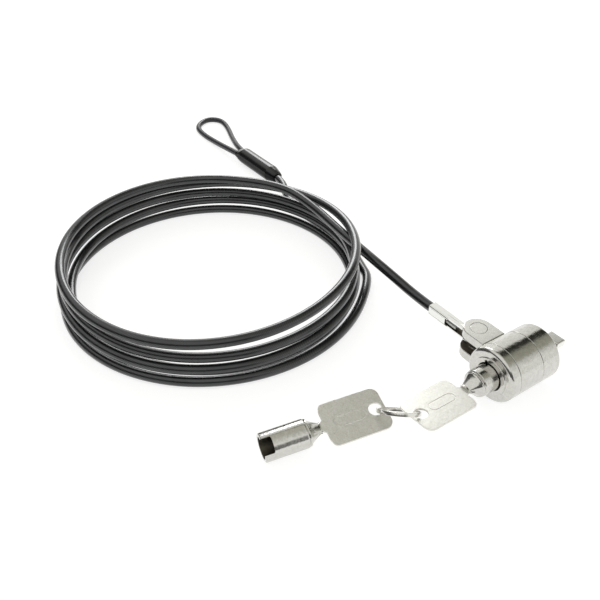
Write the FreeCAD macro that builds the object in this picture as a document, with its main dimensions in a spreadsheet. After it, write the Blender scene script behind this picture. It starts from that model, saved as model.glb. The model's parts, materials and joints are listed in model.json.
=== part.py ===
"""Laptop cable lock: swivelling cylinder head, vinyl-covered cable and two tubular keys.

Millimetres.  The lock axis is Y and points out of the nose towards the slot that it locks into,
the cable fitting leaves towards -X, Z is up.  The origin is the middle of the nose's seat face.
"""
import FreeCAD, Part
import math
import os
import Sketcher

V = FreeCAD.Vector
X_AXIS, Y_AXIS, Z_AXIS = V(1, 0, 0), V(0, 1, 0), V(0, 0, 1)

# Name, value, what it is.
SIZES = (
    ("head_radius", 10.65, "outside of the three head rings"),
    ("nose_length", 4.5, "rear rim to the nose's seat face"),
    ("rear_length", 8.8, "rear sleeve"),
    ("collar_length", 11.5, "swivel collar"),
    ("cap_length", 4.9, "front cap"),
    ("seam_gap", 0.1, "running gap at each seam of the head"),
    ("cap_shoulder", 2.8, "radius of the front cap's shoulder"),
    ("cap_face_radius", 7.4, "flat front face"),
    ("cap_face_step", 0.4, "how far the flat face stands proud"),
    ("cap_hole_radius", 5.5, "key hole in the face"),
    ("cap_wall", 1.5, "thickness of the cap's front wall"),
    ("keyway_depth", 0.9, "keyway beyond the key hole"),
    ("keyway_width", 1.2, "keyway"),
    ("keyway_clock", -23.0, "keyway about the axis, from up towards +X"),
    ("housing_radius", 8.6, "lock housing outside"),
    ("bore_radius", 6.45, "lock housing bore"),
    ("fit_gap", 0.03, "radial gap of a seated fit"),
    ("running_gap", 0.06, "radial gap of a running fit"),
    ("end_gap", 0.1, "axial gap of a running fit"),
    ("rim_chamfer", 0.6, "rear rim"),
    ("lip_radius", 7.5, "opening in the rear sleeve's lip"),
    ("lip_depth", 1.8, "thickness of the rear sleeve's lip"),
    ("boss_radius", 4.4, "nose boss"),
    ("spigot_length", 2.2, "nose bush inside the housing"),
    ("nub_radius", 0.75, "anti-rotation pin"),
    ("nub_offset", 2.55, "anti-rotation pin from the axis"),
    ("nub_reach", 2.3, "anti-rotation pin beyond the seat face"),
    ("nub_root", 3.5, "anti-rotation pin inside the boss"),
    ("post_radius", 3.65, "spindle post, inside the key"),
    ("post_recess", 0.2, "spindle post behind the front face"),
    ("flange_face", 9.3, "front face of the cap to the spindle's flange"),
    ("flange_length", 3.8, "spindle flange that holds the key pins"),
    ("shaft_radius", 2.3, "spindle's rear shaft"),
    ("tumbler_circle", 4.7, "radius of the circle of pins"),
    ("tumbler_hole", 0.95, "radius of a pin hole"),
    ("tumbler_pitch", 36.0, "angle between pins"),
    ("tumbler_count", 7.0, "pins"),
    ("driver_length", 3.3, "driver pin"),
    ("lug_width", 5.2, "drive lug across"),
    ("lug_length", 3.0, "drive lug along the axis"),
    ("bar_width", 7.0, "locking bar's head, long way"),
    ("bar_thickness", 2.9, "locking bar's head, short way"),
    ("bar_length", 4.4, "locking bar's head along the axis"),
    ("bar_stand", 2.7, "seat face to the back of the bar's head"),
    ("bar_corner", 0.7, "rounding of the bar's head"),
    ("bar_shaft", 1.45, "radius of the bar's shaft"),
    ("bar_depth", 14.0, "bar's shaft behind the seat face"),
    ("cross_pin_radius", 0.6, "drive pin through spindle and bar"),
    ("cross_pin_margin", 3.0, "drive pin from the inner end of the bar's shaft"),
    ("block_pin_radius", 0.8, "pin that holds the driver block"),
    ("rivet_side", 16.4, "rivet from the lock axis"),
    ("rivet_radius", 1.5, "rivet shank"),
    ("rivet_head_radius", 3.2, "rivet head"),
    ("rivet_head_depth", 1.0, "rivet head, let in flush"),
    ("ear_top", 6.1, "ear's outer face from the lock axis"),
    ("ear_thickness", 3.6, "one ear"),
    ("ear_root", 0.25, "floor of the fork outside the ring"),
    ("strap_width", 3.8, "cable fitting across"),
    ("strap_height", 4.6, "cable fitting in height"),
    ("strap_thickness", 0.8, "strap of the cable fitting"),
    ("strap_eye", 3.2, "radius of the strap's eye"),
    ("strap_edge", 0.45, "rounded long edges of the fitting"),
    ("window_length", 9.0, "open part of the fitting outside the ears"),
    ("crimp_length", 9.0, "closed part of the fitting"),
    ("seam_width", 0.14, "seam of the folded strap"),
    ("rope_radius", 1.2, "bare steel rope"),
    ("stop_radius", 1.4, "stop on the rope's end"),
    ("stop_length", 5.5, "stop on the rope's end"),
    ("cable_radius", 2.0, "covered cable"),
    ("loop_wire_radius", 1.55, "covered cable of the anchor loop"),
    ("sleeve_radius", 4.0, "moulded sleeve"),
    ("sleeve_length", 39.4, "moulded sleeve"),
    ("sleeve_wall", 0.55, "moulded sleeve's wall"),
    ("sleeve_throat", 6.0, "moulded sleeve's throat, up to the ferrule"),
    ("ferrule_length", 30.0, "ferrule inside the sleeve"),
    ("leg_spread", 1.85, "loop leg from the sleeve's axis"),
    ("barrel_radius", 5.1, "key barrel outside"),
    ("barrel_bore", 3.85, "key barrel bore"),
    ("barrel_length", 16.5, "key barrel"),
    ("barrel_depth", 14.9, "depth of the key's bore"),
    ("barrel_chamfer", 0.3, "key barrel's edges"),
    ("cone_length", 4.6, "pinched cone behind the barrel"),
    ("cone_root", 4.5, "cone's radius at the barrel"),
    ("cone_tip", 2.2, "cone's radius at the bow"),
    ("notch_width", 5.6, "notch in the key's mouth"),
    ("notch_depth", 3.5, "notch in the key's mouth"),
    ("notch_clock", 151.0, "notch about the key's axis"),
    ("nib_clock", -18.0, "nib about the key's axis"),
    ("nib_width", 0.8, "nib across"),
    ("nib_length", 1.6, "nib along the key"),
    ("nib_height", 0.8, "nib over the barrel"),
    ("nib_place", 1.0, "nib behind the key's mouth"),
    ("bow_width", 16.8, "key bow"),
    ("bow_length", 23.6, "key bow"),
    ("bow_thickness", 0.85, "key bow"),
    ("bow_corner", 3.0, "outer corners of the bow"),
    ("bow_shoulder", 2.2, "length of the bow's sloping shoulders"),
    ("bow_neck", 6.4, "bow's width at the cone"),
    ("bow_start", 1.2, "cone's tip to the start of the neck"),
    ("tongue_width", 3.0, "bow's tongue in the cone"),
    ("tongue_length", 3.2, "bow's tongue in the cone"),
    ("bow_hole_radius", 2.5, "hole for the ring"),
    ("bow_hole_margin", 3.5, "hole's middle from the bow's end"),
    ("panel_length", 11.5, "stamped outline on the bow"),
    ("panel_width", 4.2, "stamped outline on the bow"),
    ("panel_depth", 0.12, "stamped outline on the bow"),
    ("panel_line", 0.35, "width of the stamped line"),
    ("ring_radius", 8.0, "key ring outside"),
    ("ring_width", 1.1, "key ring's wire across"),
    ("ring_height", 1.3, "key ring's two turns in height"),
    ("ring_split", 0.1, "split between the turns"),
    ("ring_split_depth", 0.3, "split between the turns"),
    ("key_end_gap", 0.1, "key's mouth to the spindle's flange"),
    ("key_roll", -5.0, "roll of the key in the lock"),
    ("spare_side", 12.1, "spare key's ring hole beside the other key's"),
    ("spare_reach", 9.5, "spare key's ring hole in front of the other key's"),
    ("spare_drop", 2.4, "spare key's ring hole below the other key's"),
)

# Stations of the coil: turns from the lead's end, radius, height over the desk
COIL = (
    (0.00, 57.6, 19.75), (0.25, 60.2, 20.8), (0.50, 62.2, 17.8), (0.75, 62.2, 20.4),
    (1.00, 62.6, 15.75), (1.25, 60.7, 16.0), (1.50, 61.6, 11.55), (1.75, 61.8, 11.05),
    (2.00, 61.4, 11.0), (2.25, 61.5, 11.3), (2.50, 63.6, 7.35), (2.75, 62.6, 6.6),
    (3.00, 62.0, 6.6), (3.25, 59.6, 6.7), (3.50, 58.2, 2.45), (3.75, 61.2, 2.15),
    (4.00, 60.2, 2.15), (4.25, 61.1, 2.2), (4.50, 64.4, 2.2), (4.75, 66.2, 2.2),
)
COIL_CENTRE = (-118.3, -75.8)
COIL_START = 131.28
STRAIGHT = 4.0

# Points of the free stretches: x, y, height over the desk
LEAD = ((-126.0, -17.8, 17.2), (-98.4, -19.6, 15.65), (-75.7, -20.5, 14.7), (-63.4, -19.6, 12.6))
LEAD_RUN = 10.0
TAIL = ((-91.8, -13.7, 2.2), (-111.1, -7.3, 2.2), (-133.6, -4.7, 2.2), (-148.3, -2.9, 2.8))
TAIL_RUN = 8.3
SLEEVE_PLACE = (-174.6, -2.5)
SLEEVE_HEADING = 183.1
LOOP_END = (10.4, 84.9)
LOOP_RADIUS = 8.2
SPARE_HEADING = (0.2375, 0.971, 0.07)
SPARE_ROLL = 169.0
RING_TILT = 38.0
RING_SHIFT = -0.25


class Size:
    """A size of the lock: its value and the expression that gives it."""

    def __init__(self, value, text):
        self.value = value
        self.text = text

    def join(self, sign, other, value):
        return Size(value, "(%s %s %s)" % (self.text, sign, other.text))

    def __add__(self, other):
        other = sized(other)
        return self.join("+", other, self.value + other.value)

    def __sub__(self, other):
        other = sized(other)
        return self.join("-", other, self.value - other.value)

    def __mul__(self, other):
        other = sized(other)
        return self.join("*", other, self.value * other.value)

    def __truediv__(self, other):
        other = sized(other)
        return self.join("/", other, self.value / other.value)

    def __neg__(self):
        return Size(-self.value, "(0 - %s)" % self.text)


def sized(number):
    """A plain number as a size."""
    if isinstance(number, Size):
        return number
    return Size(float(number), "%.6f" % number)


class Lock:
    """The document, its sheet of sizes and the pieces made so far."""

    def __init__(self):
        self.doc = FreeCAD.newDocument("cable_lock")
        self.sheet = self.doc.addObject("Spreadsheet::Sheet", "Sizes")
        for row, (name, value, note) in enumerate(SIZES, 1):
            self.sheet.set("A%d" % row, name)
            self.sheet.set("B%d" % row, "%g" % value)
            self.sheet.set("C%d" % row, note)
            self.sheet.setAlias("B%d" % row, name)
        self.doc.recompute()
        self.nodes = []

    def __getattr__(self, name):
        return Size(float(self.__dict__["sheet"].get(name)), "Sizes." + name)

    def keep(self, obj, label):
        """Names a finished piece."""
        obj.Label = label
        self.nodes.append(obj)
        return obj

    def plane(self, body, role):
        return [f for f in body.Origin.OriginFeatures if f.Role == role][0]


def bind(obj, prop, size):
    """Ties a property to its size."""
    obj.setExpression(prop, sized(size).text)


def sketch_on(lock, body, role, name):
    """An empty sketch on one of the body's origin planes."""
    sketch = body.newObject("Sketcher::SketchObject", name)
    sketch.AttachmentSupport = [(lock.plane(body, role), "")]
    sketch.MapMode = "FlatFace"
    return sketch


def pin_point(sketch, edge, point, x, y):
    """Holds one point of a sketch edge at x, y."""
    for kind, size in (("DistanceX", sized(x)), ("DistanceY", sized(y))):
        number = sketch.addConstraint(Sketcher.Constraint(kind, edge, point, size.value))
        sketch.setExpression("Constraints[%d]" % number, size.text)


def corner_arc(before, corner, after, radius):
    """The two tangent points and the middle of a rounding at a square corner."""
    ways = []
    for point in (before, after):
        dx = sized(point[0]).value - sized(corner[0]).value
        dy = sized(point[1]).value - sized(corner[1]).value
        length = math.hypot(dx, dy)
        ways.append((round(dx / length), round(dy / length)))
    first = (sized(corner[0]) + radius * ways[0][0], sized(corner[1]) + radius * ways[0][1])
    last = (sized(corner[0]) + radius * ways[1][0], sized(corner[1]) + radius * ways[1][1])
    middle = (first[0] + radius * ways[1][0], first[1] + radius * ways[1][1])
    return first, last, middle


def outline(sketch, points, rounds=None):
    """A closed outline, anticlockwise, with square corners in rounds replaced by arcs."""
    rounds = rounds or {}
    chain = []
    count = len(points)
    for i, point in enumerate(points):
        if i in rounds:
            arc = corner_arc(points[i - 1], point, points[(i + 1) % count], sized(rounds[i]))
            chain.append((arc[0], arc[2], sized(rounds[i])))
            chain.append((arc[1], None, None))
        else:
            chain.append((point, None, None))
    spots = [V(sized(p[0]).value, sized(p[1]).value, 0) for p, _, _ in chain]
    for i, (point, middle, radius) in enumerate(chain):
        start, end = spots[i], spots[(i + 1) % len(spots)]
        if middle is None:
            sketch.addGeometry(Part.LineSegment(start, end))
        else:
            centre = V(middle[0].value, middle[1].value, 0)
            low = math.atan2(start.y - centre.y, start.x - centre.x)
            high = math.atan2(end.y - centre.y, end.x - centre.x)
            if high < low:
                high += 2 * math.pi
            circle = Part.Circle(centre, Z_AXIS, radius.value)
            sketch.addGeometry(Part.ArcOfCircle(circle, low, high))
    for i in range(len(chain)):
        sketch.addConstraint(Sketcher.Constraint("Coincident", i, 2, (i + 1) % len(chain), 1))
    for i, (point, middle, radius) in enumerate(chain):
        pin_point(sketch, i, 1, point[0], point[1])
        if middle is not None:
            number = sketch.addConstraint(Sketcher.Constraint("Radius", i, radius.value))
            sketch.setExpression("Constraints[%d]" % number, radius.text)


def new_body(lock, name):
    return lock.doc.addObject("PartDesign::Body", name)


def turned(lock, name, points, rounds=None):
    """A body turned about Y from a half section of radius, position."""
    body = new_body(lock, name)
    sketch = sketch_on(lock, body, "XY_Plane", name + "_section")
    outline(sketch, points, rounds)
    turn = body.newObject("PartDesign::Revolution", name + "_turn")
    turn.Profile = sketch
    turn.ReferenceAxis = (sketch, ["V_Axis"])
    turn.Angle = 360
    sketch.Visibility = False
    lock.doc.recompute()
    return body


def circle_sketch(lock, body, role, name, circles):
    """Circles of x, y, radius on an origin plane."""
    sketch = sketch_on(lock, body, role, name)
    for i, (x, y, radius) in enumerate(circles):
        centre = V(sized(x).value, sized(y).value, 0)
        sketch.addGeometry(Part.Circle(centre, Z_AXIS, sized(radius).value))
        number = sketch.addConstraint(Sketcher.Constraint("Radius", i, sized(radius).value))
        sketch.setExpression("Constraints[%d]" % number, sized(radius).text)
        pin_point(sketch, i, 3, x, y)
    return sketch


def drill(lock, body, role, name, circles):
    """Holes right through the body, square to the plane."""
    sketch = circle_sketch(lock, body, role, name + "_places", circles)
    hole = body.newObject("PartDesign::Pocket", name)
    hole.Profile = sketch
    hole.Type = "ThroughAll"
    hole.Midplane = True
    lock.doc.recompute()
    return hole


def ring_of(lock, body, feature, name):
    """Repeats the first pin or hole round the lock axis."""
    pattern = body.newObject("PartDesign::PolarPattern", name)
    pattern.Originals = [feature]
    pattern.Axis = (lock.plane(body, "Y_Axis"), [""])
    pattern.Occurrences = int(lock.tumbler_count.value)
    bind(pattern, "Angle", lock.tumbler_pitch * (lock.tumbler_count - 1))
    body.Tip = pattern
    lock.doc.recompute()
    return pattern


def first_tumbler(lock):
    """Where the first pin stands, so that the row is centred opposite the drive lug."""
    half = math.radians(lock.tumbler_pitch.value * (lock.tumbler_count.value - 1) / 2)
    return lock.tumbler_circle * -math.cos(half), lock.tumbler_circle * -math.sin(half)


def round_edges(lock, body, name, radius, pick):
    """Fillets the edges of the body that pick accepts."""
    tip = body.Tip
    names = []
    for i, edge in enumerate(tip.Shape.Edges, 1):
        if pick(edge):
            names.append("Edge%d" % i)
    fillet = body.newObject("PartDesign::Fillet", name)
    fillet.Base = (tip, names)
    bind(fillet, "Radius", radius)
    body.Tip = fillet
    lock.doc.recompute()
    return fillet


def placed(lock, kind, name, at, turn=None):
    """A primitive with its corner or foot at a point."""
    obj = lock.doc.addObject(kind, name)
    if turn is not None:
        obj.Placement = FreeCAD.Placement(V(), turn)
    for letter, size in zip("xyz", at):
        bind(obj, "Placement.Base." + letter, size)
    return obj


def box(lock, name, low, high):
    """A box from its low corner to its high corner."""
    obj = placed(lock, "Part::Box", name, low)
    for prop, a, b in zip(("Length", "Width", "Height"), low, high):
        bind(obj, prop, sized(b) - a)
    return obj


AXIS_TURNS = {
    "X": FreeCAD.Rotation(Y_AXIS, 90),
    "Y": FreeCAD.Rotation(X_AXIS, -90),
    "Z": FreeCAD.Rotation(),
}


def rod(lock, name, radius, foot, length, axis):
    """A cylinder from its foot along an axis."""
    obj = placed(lock, "Part::Cylinder", name, foot, AXIS_TURNS[axis])
    bind(obj, "Radius", radius)
    bind(obj, "Height", length)
    return obj


def fuse(lock, name, shapes):
    obj = lock.doc.addObject("Part::MultiFuse", name)
    obj.Shapes = shapes
    obj.Refine = True
    return obj


def cut(lock, name, base, tools):
    obj = lock.doc.addObject("Part::Cut", name)
    obj.Base = base
    obj.Tool = tools[0] if len(tools) == 1 else fuse(lock, name + "_tools", tools)
    obj.Refine = True
    return obj


def common(lock, name, first, second):
    obj = lock.doc.addObject("Part::MultiCommon", name)
    obj.Shapes = [first, second]
    return obj


def clocked(obj, clock):
    """Turns something made towards +Z round the lock axis."""
    obj.Placement = FreeCAD.Placement(V(), FreeCAD.Rotation(Y_AXIS, sized(clock).value))
    return obj


# Stations along the lock axis.

def rim(lock):
    return -lock.nose_length


def rear_seam(lock):
    return rim(lock) - lock.rear_length


def front_seam(lock):
    return rear_seam(lock) - lock.collar_length


def face(lock):
    return front_seam(lock) - lock.cap_length


def housing_front(lock):
    return face(lock) + lock.cap_wall


def housing_rear(lock):
    return rim(lock) - lock.lip_depth


def flange_front(lock):
    return face(lock) + lock.flange_face


def flange_rear(lock):
    return flange_front(lock) + lock.flange_length


def spigot_end(lock):
    return housing_rear(lock) - lock.spigot_length


def key_mouth(lock):
    return flange_front(lock) - lock.key_end_gap


def cross_pin(lock):
    """Drive pin through the spindle and the bar; the driver block is pinned at the same station."""
    return lock.cross_pin_margin - lock.bar_depth


def lug_clock(lock):
    """Drive lug about the lock axis, where the key's notch is."""
    return lock.notch_clock + lock.key_roll


def rivet_y(lock):
    return (rear_seam(lock) + front_seam(lock)) / 2


# The head and the mechanism inside it.

def front_cap(lock):
    rear = front_seam(lock) - lock.seam_gap / 2
    shoulder = face(lock) + lock.cap_face_step
    bore = lock.housing_radius + lock.fit_gap
    points = (
        (lock.cap_hole_radius, housing_front(lock)), (lock.cap_hole_radius, face(lock)),
        (lock.cap_face_radius, face(lock)), (lock.cap_face_radius, shoulder),
        (lock.head_radius, shoulder), (lock.head_radius, rear), (bore, rear),
        (bore, housing_front(lock)),
    )
    shell = turned(lock, "cap_shell", points, {4: lock.cap_shoulder})
    half = lock.keyway_width / 2
    low = (-half, face(lock) - 1, lock.post_radius)
    high = (half, housing_front(lock) + 0.5, lock.cap_hole_radius + lock.keyway_depth)
    way = box(lock, "cap_keyway", low, high)
    clear = rod(lock, "cap_keyway_round", lock.cap_hole_radius + lock.keyway_depth,
                (0, face(lock) - 2, 0), lock.cap_length, "Y")
    tool = clocked(common(lock, "cap_keyway_tool", way, clear), lock.keyway_clock)
    lock.keep(cut(lock, "cap", shell, [tool]), "front_cap")


def rear_sleeve(lock):
    front = rear_seam(lock) + lock.seam_gap / 2
    bore = lock.housing_radius + lock.fit_gap
    points = (
        (bore, front), (lock.head_radius, front), (lock.head_radius, rim(lock) - lock.rim_chamfer),
        (lock.head_radius - lock.rim_chamfer, rim(lock)), (lock.lip_radius, rim(lock)),
        (lock.lip_radius, housing_rear(lock)), (bore, housing_rear(lock)),
    )
    lock.keep(turned(lock, "rear_sleeve", points), "rear_sleeve")


def lock_housing(lock):
    points = (
        (lock.bore_radius, housing_front(lock)), (lock.housing_radius, housing_front(lock)),
        (lock.housing_radius, housing_rear(lock)), (lock.bore_radius, housing_rear(lock)),
    )
    tube = turned(lock, "housing_tube", points)
    hole = rod(lock, "housing_pin_hole", lock.block_pin_radius + lock.fit_gap,
               (0, cross_pin(lock), lock.bore_radius - 1), lock.bore_radius, "Z")
    lock.keep(cut(lock, "housing", tube, [hole]), "lock_housing")


def nose_bush(lock):
    bore = lock.bar_shaft + lock.running_gap
    spigot = lock.bore_radius - lock.fit_gap
    disc = lock.lip_radius - lock.fit_gap
    points = (
        (bore, spigot_end(lock)), (spigot, spigot_end(lock)), (spigot, housing_rear(lock)),
        (disc, housing_rear(lock)), (disc, rim(lock) - lock.end_gap),
        (lock.boss_radius, rim(lock) - lock.end_gap), (lock.boss_radius, 0), (bore, 0),
    )
    shell = turned(lock, "bush_shell", points)
    holes = []
    for i, side in enumerate((-1, 1)):
        holes.append(rod(lock, "bush_hole_%d" % i, lock.nub_radius + lock.fit_gap,
                         (lock.nub_offset * side, -lock.nub_root, 0), lock.nub_root + 1, "Y"))
    lock.keep(cut(lock, "bush", shell, holes), "nose_bush")


def anti_rotation_pins(lock):
    pins = []
    for i, side in enumerate((-1, 1)):
        pins.append(rod(lock, "nub_%d" % i, lock.nub_radius,
                        (lock.nub_offset * side, -lock.nub_root, 0),
                        lock.nub_root + lock.nub_reach, "Y"))
    lock.keep(fuse(lock, "nubs", pins), "anti_rotation_pins")


def spindle(lock):
    back = spigot_end(lock) - lock.end_gap
    post_end = face(lock) + lock.post_recess
    flange = lock.bore_radius - lock.running_gap
    bore = lock.bar_shaft + lock.fit_gap
    points = (
        (0, post_end), (lock.post_radius, post_end), (lock.post_radius, flange_front(lock)),
        (flange, flange_front(lock)), (flange, flange_rear(lock)),
        (lock.shaft_radius, flange_rear(lock)), (lock.shaft_radius, back), (bore, back),
        (bore, -lock.bar_depth), (0, -lock.bar_depth),
    )
    body = turned(lock, "spindle_body", points)
    x, z = first_tumbler(lock)
    hole = drill(lock, body, "XZ_Plane", "spindle_hole", [(x, z, lock.tumbler_hole)])
    ring_of(lock, body, hole, "spindle_holes")
    clocked(body, lug_clock(lock) - 90)
    half = lock.lug_width / 2
    block = box(lock, "lug_block", (-half, flange_front(lock) - lock.lug_length, 0),
                (half, flange_front(lock) + 0.5, lock.barrel_radius))
    disc = rod(lock, "lug_disc", lock.barrel_radius - lock.end_gap,
               (0, flange_front(lock) - lock.lug_length, 0), lock.lug_length + 0.5, "Y")
    lug = clocked(common(lock, "lug", block, disc), lug_clock(lock))
    whole = fuse(lock, "spindle_with_lug", [body, lug])
    hole = rod(lock, "spindle_cross_hole", lock.cross_pin_radius + lock.fit_gap,
               (0, cross_pin(lock), -lock.shaft_radius - 1), lock.shaft_radius * 2 + 2, "Z")
    lock.keep(cut(lock, "spindle_cut", whole, [hole]), "spindle")


def driver_block(lock):
    front = flange_rear(lock) + lock.end_gap
    outer = lock.bore_radius - lock.fit_gap
    inner = lock.shaft_radius + lock.running_gap
    points = ((inner, front), (outer, front), (outer, spigot_end(lock)), (inner, spigot_end(lock)))
    body = turned(lock, "driver_block_body", points)
    x, z = first_tumbler(lock)
    hole = drill(lock, body, "XZ_Plane", "driver_hole", [(x, z, lock.tumbler_hole)])
    ring_of(lock, body, hole, "driver_holes")
    clocked(body, lug_clock(lock) - 90)
    seat = rod(lock, "driver_pin_seat", lock.block_pin_radius + lock.fit_gap,
               (0, cross_pin(lock), pin_foot(lock)), lock.bore_radius, "Z")
    lock.keep(cut(lock, "driver_cut", body, [seat]), "driver_block")


def pin_foot(lock):
    """How near the axis the block pin reaches, clear of the pins."""
    return lock.tumbler_circle + lock.tumbler_hole + 0.2


def block_pin(lock):
    length = lock.housing_radius - pin_foot(lock) - 0.05
    pin = rod(lock, "block_pin_rod", lock.block_pin_radius,
              (0, cross_pin(lock), pin_foot(lock)), length, "Z")
    lock.keep(pin, "block_pin")


def pin_row(lock, name, label, low, length, radius, bore=None):
    """A ring of like pins or tubes between two stations."""
    body = new_body(lock, name)
    x, z = first_tumbler(lock)
    circles = [(x, z, radius)]
    if bore is not None:
        circles.append((x, z, bore))
    sketch = circle_sketch(lock, body, "XZ_Plane", name + "_place", circles)
    bind(sketch, "AttachmentOffset.Base.z", -(low + length))
    pad = body.newObject("PartDesign::Pad", name + "_pin")
    pad.Profile = sketch
    bind(pad, "Length", length)
    lock.doc.recompute()
    ring_of(lock, body, pad, name + "_ring")
    clocked(body, lug_clock(lock) - 90)
    lock.keep(body, label)


def tumblers(lock):
    pin = lock.tumbler_hole - lock.running_gap
    shear = flange_rear(lock) + lock.end_gap / 2
    pin_row(lock, "key_pin", "key_pins", flange_front(lock), shear - flange_front(lock), pin)
    driver = flange_rear(lock) + lock.end_gap * 1.5
    pin_row(lock, "driver_pin", "driver_pins", driver, lock.driver_length, pin)
    spring = driver + lock.driver_length + lock.end_gap / 2
    pin_row(lock, "spring", "tumbler_springs", spring, spigot_end(lock) - spring, pin,
            pin - lock.fit_gap * 10)


def t_bar(lock):
    body = new_body(lock, "bar_head")
    sketch = sketch_on(lock, body, "XZ_Plane", "bar_section")
    x, z = lock.bar_width / 2, lock.bar_thickness / 2
    corners = ((-x, -z), (x, -z), (x, z), (-x, z))
    outline(sketch, corners, {0: lock.bar_corner, 1: lock.bar_corner, 2: lock.bar_corner,
                              3: lock.bar_corner})
    bind(sketch, "AttachmentOffset.Base.z", -(lock.bar_stand + lock.bar_length))
    pad = body.newObject("PartDesign::Pad", "bar_pad")
    pad.Profile = sketch
    bind(pad, "Length", lock.bar_length)
    lock.doc.recompute()
    tip = (lock.bar_stand + lock.bar_length).value
    round_edges(lock, body, "bar_tip", lock.bar_corner * 0.6,
                lambda e: abs(e.BoundBox.YMin - tip) < 1e-4 and abs(e.BoundBox.YMax - tip) < 1e-4)
    shaft = rod(lock, "bar_shaft_rod", lock.bar_shaft, (0, -lock.bar_depth, 0),
                lock.bar_depth + lock.bar_stand + 0.5, "Y")
    whole = fuse(lock, "bar_whole", [body, shaft])
    hole = rod(lock, "bar_cross_hole", lock.cross_pin_radius + lock.fit_gap,
               (0, cross_pin(lock), -lock.shaft_radius), lock.shaft_radius * 2, "Z")
    lock.keep(cut(lock, "bar", whole, [hole]), "t_bar")


def drive_pin(lock):
    half = lock.shaft_radius - 0.1
    pin = rod(lock, "drive_pin_rod", lock.cross_pin_radius, (0, cross_pin(lock), -half),
              half * 2, "Z")
    lock.keep(pin, "drive_pin")


# The swivel collar, its rivet and the cable's fitting.

def swivel_collar(lock):
    low = front_seam(lock) + lock.seam_gap / 2
    high = rear_seam(lock) - lock.seam_gap / 2
    length = high - low
    side = -lock.rivet_side
    ring = rod(lock, "collar_ring", lock.head_radius, (0, low, 0), length, "Y")
    slab = box(lock, "ear_slab", (side, low, -lock.ear_top), (0, high, lock.ear_top))
    end = rod(lock, "ear_end", length / 2, (side, rivet_y(lock), -lock.ear_top),
              lock.ear_top * 2, "Z")
    whole = fuse(lock, "collar_whole", [ring, slab, end])
    gap = lock.ear_top - lock.ear_thickness
    fork = box(lock, "ear_gap", (side - length, low - 1, -gap),
               (-(lock.head_radius + lock.ear_root), high + 1, gap))
    bore = rod(lock, "collar_bore", lock.housing_radius + lock.running_gap, (0, low - 1, 0),
               length + 2, "Y")
    hole = rod(lock, "collar_rivet_hole", lock.rivet_radius + lock.fit_gap,
               (side, rivet_y(lock), -lock.ear_top - 1), lock.ear_top * 2 + 2, "Z")
    tools = [fork, bore, hole]
    for i, foot in enumerate((lock.ear_top - lock.rivet_head_depth, -lock.ear_top - 1)):
        depth = lock.rivet_head_depth + 1
        tools.append(rod(lock, "rivet_recess_%d" % i, lock.rivet_head_radius + lock.fit_gap,
                         (side, rivet_y(lock), foot), depth, "Z"))
    lock.keep(cut(lock, "collar", whole, tools), "swivel_collar")


def rivet(lock):
    top = lock.ear_top
    neck = top - lock.rivet_head_depth
    points = (
        (0, -top), (lock.rivet_head_radius, -top), (lock.rivet_head_radius, -neck),
        (lock.rivet_radius, -neck), (lock.rivet_radius, neck), (lock.rivet_head_radius, neck),
        (lock.rivet_head_radius, top), (0, top),
    )
    body = turned(lock, "rivet_body", points)
    body.Placement = FreeCAD.Placement(V(), FreeCAD.Rotation(X_AXIS, 90))
    bind(body, "Placement.Base.x", -lock.rivet_side)
    bind(body, "Placement.Base.y", rivet_y(lock))
    lock.keep(body, "rivet")


def fitting_stations(lock):
    """Ears' end, window's end and cable's end of the fitting."""
    ears = -lock.rivet_side - (lock.collar_length - lock.seam_gap) / 2 - lock.end_gap * 4
    window = ears - lock.window_length
    return ears, window, window - lock.crimp_length


def cable_fitting(lock):
    ears, window, cable = fitting_stations(lock)
    y = rivet_y(lock)
    wide, tall = lock.strap_width / 2, lock.strap_height / 2
    body = new_body(lock, "strap_body")
    sketch = sketch_on(lock, body, "YZ_Plane", "strap_section")
    corners = ((y - wide, -tall), (y + wide, -tall), (y + wide, tall), (y - wide, tall))
    edge = lock.strap_edge
    outline(sketch, corners, {0: edge, 1: edge, 2: edge, 3: edge})
    bind(sketch, "AttachmentOffset.Base.z", cable)
    pad = body.newObject("PartDesign::Pad", "strap_pad")
    pad.Profile = sketch
    bind(pad, "Length", -lock.rivet_side - cable)
    lock.doc.recompute()
    eye = rod(lock, "strap_eye", lock.strap_eye, (-lock.rivet_side, y, -tall), tall * 2, "Z")
    whole = fuse(lock, "strap_whole", [body, eye])
    inner = tall - lock.strap_thickness
    throat = box(lock, "strap_throat", (window, y - lock.strap_eye - 1, -inner),
                 (0, y + lock.strap_eye + 1, inner))
    bore = rod(lock, "strap_bore", lock.rope_radius + lock.fit_gap, (cable - 1, y, 0),
               lock.crimp_length + 2, "X")
    hole = rod(lock, "strap_hole", lock.rivet_radius + lock.running_gap,
               (-lock.rivet_side, y, -tall - 1), tall * 2 + 2, "Z")
    seam = box(lock, "strap_seam", (cable - 1, y - wide - 1, inner - lock.seam_width),
               (window + 0.5, y - wide + lock.seam_width * 2, inner))
    lock.keep(cut(lock, "strap", whole, [throat, bore, hole, seam]), "cable_fitting")


def rope_end(lock):
    ears, window, cable = fitting_stations(lock)
    points = (
        (0, 0), (lock.rope_radius, 0), (lock.rope_radius, lock.crimp_length + lock.end_gap),
        (lock.stop_radius, lock.crimp_length + lock.end_gap),
        (lock.stop_radius, lock.crimp_length + lock.stop_length),
        (0, lock.crimp_length + lock.stop_length),
    )
    body = turned(lock, "rope_body", points)
    body.Placement = FreeCAD.Placement(V(), FreeCAD.Rotation(Z_AXIS, -90))
    bind(body, "Placement.Base.x", cable)
    bind(body, "Placement.Base.y", rivet_y(lock))
    lock.keep(body, "rope_end")


# The two keys and their ring.

def key_frame(lock):
    """Placement of the key in the lock."""
    turn = FreeCAD.Rotation(Y_AXIS, lock.key_roll.value)
    return FreeCAD.Placement(V(0, key_mouth(lock).value, 0), turn)


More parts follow.
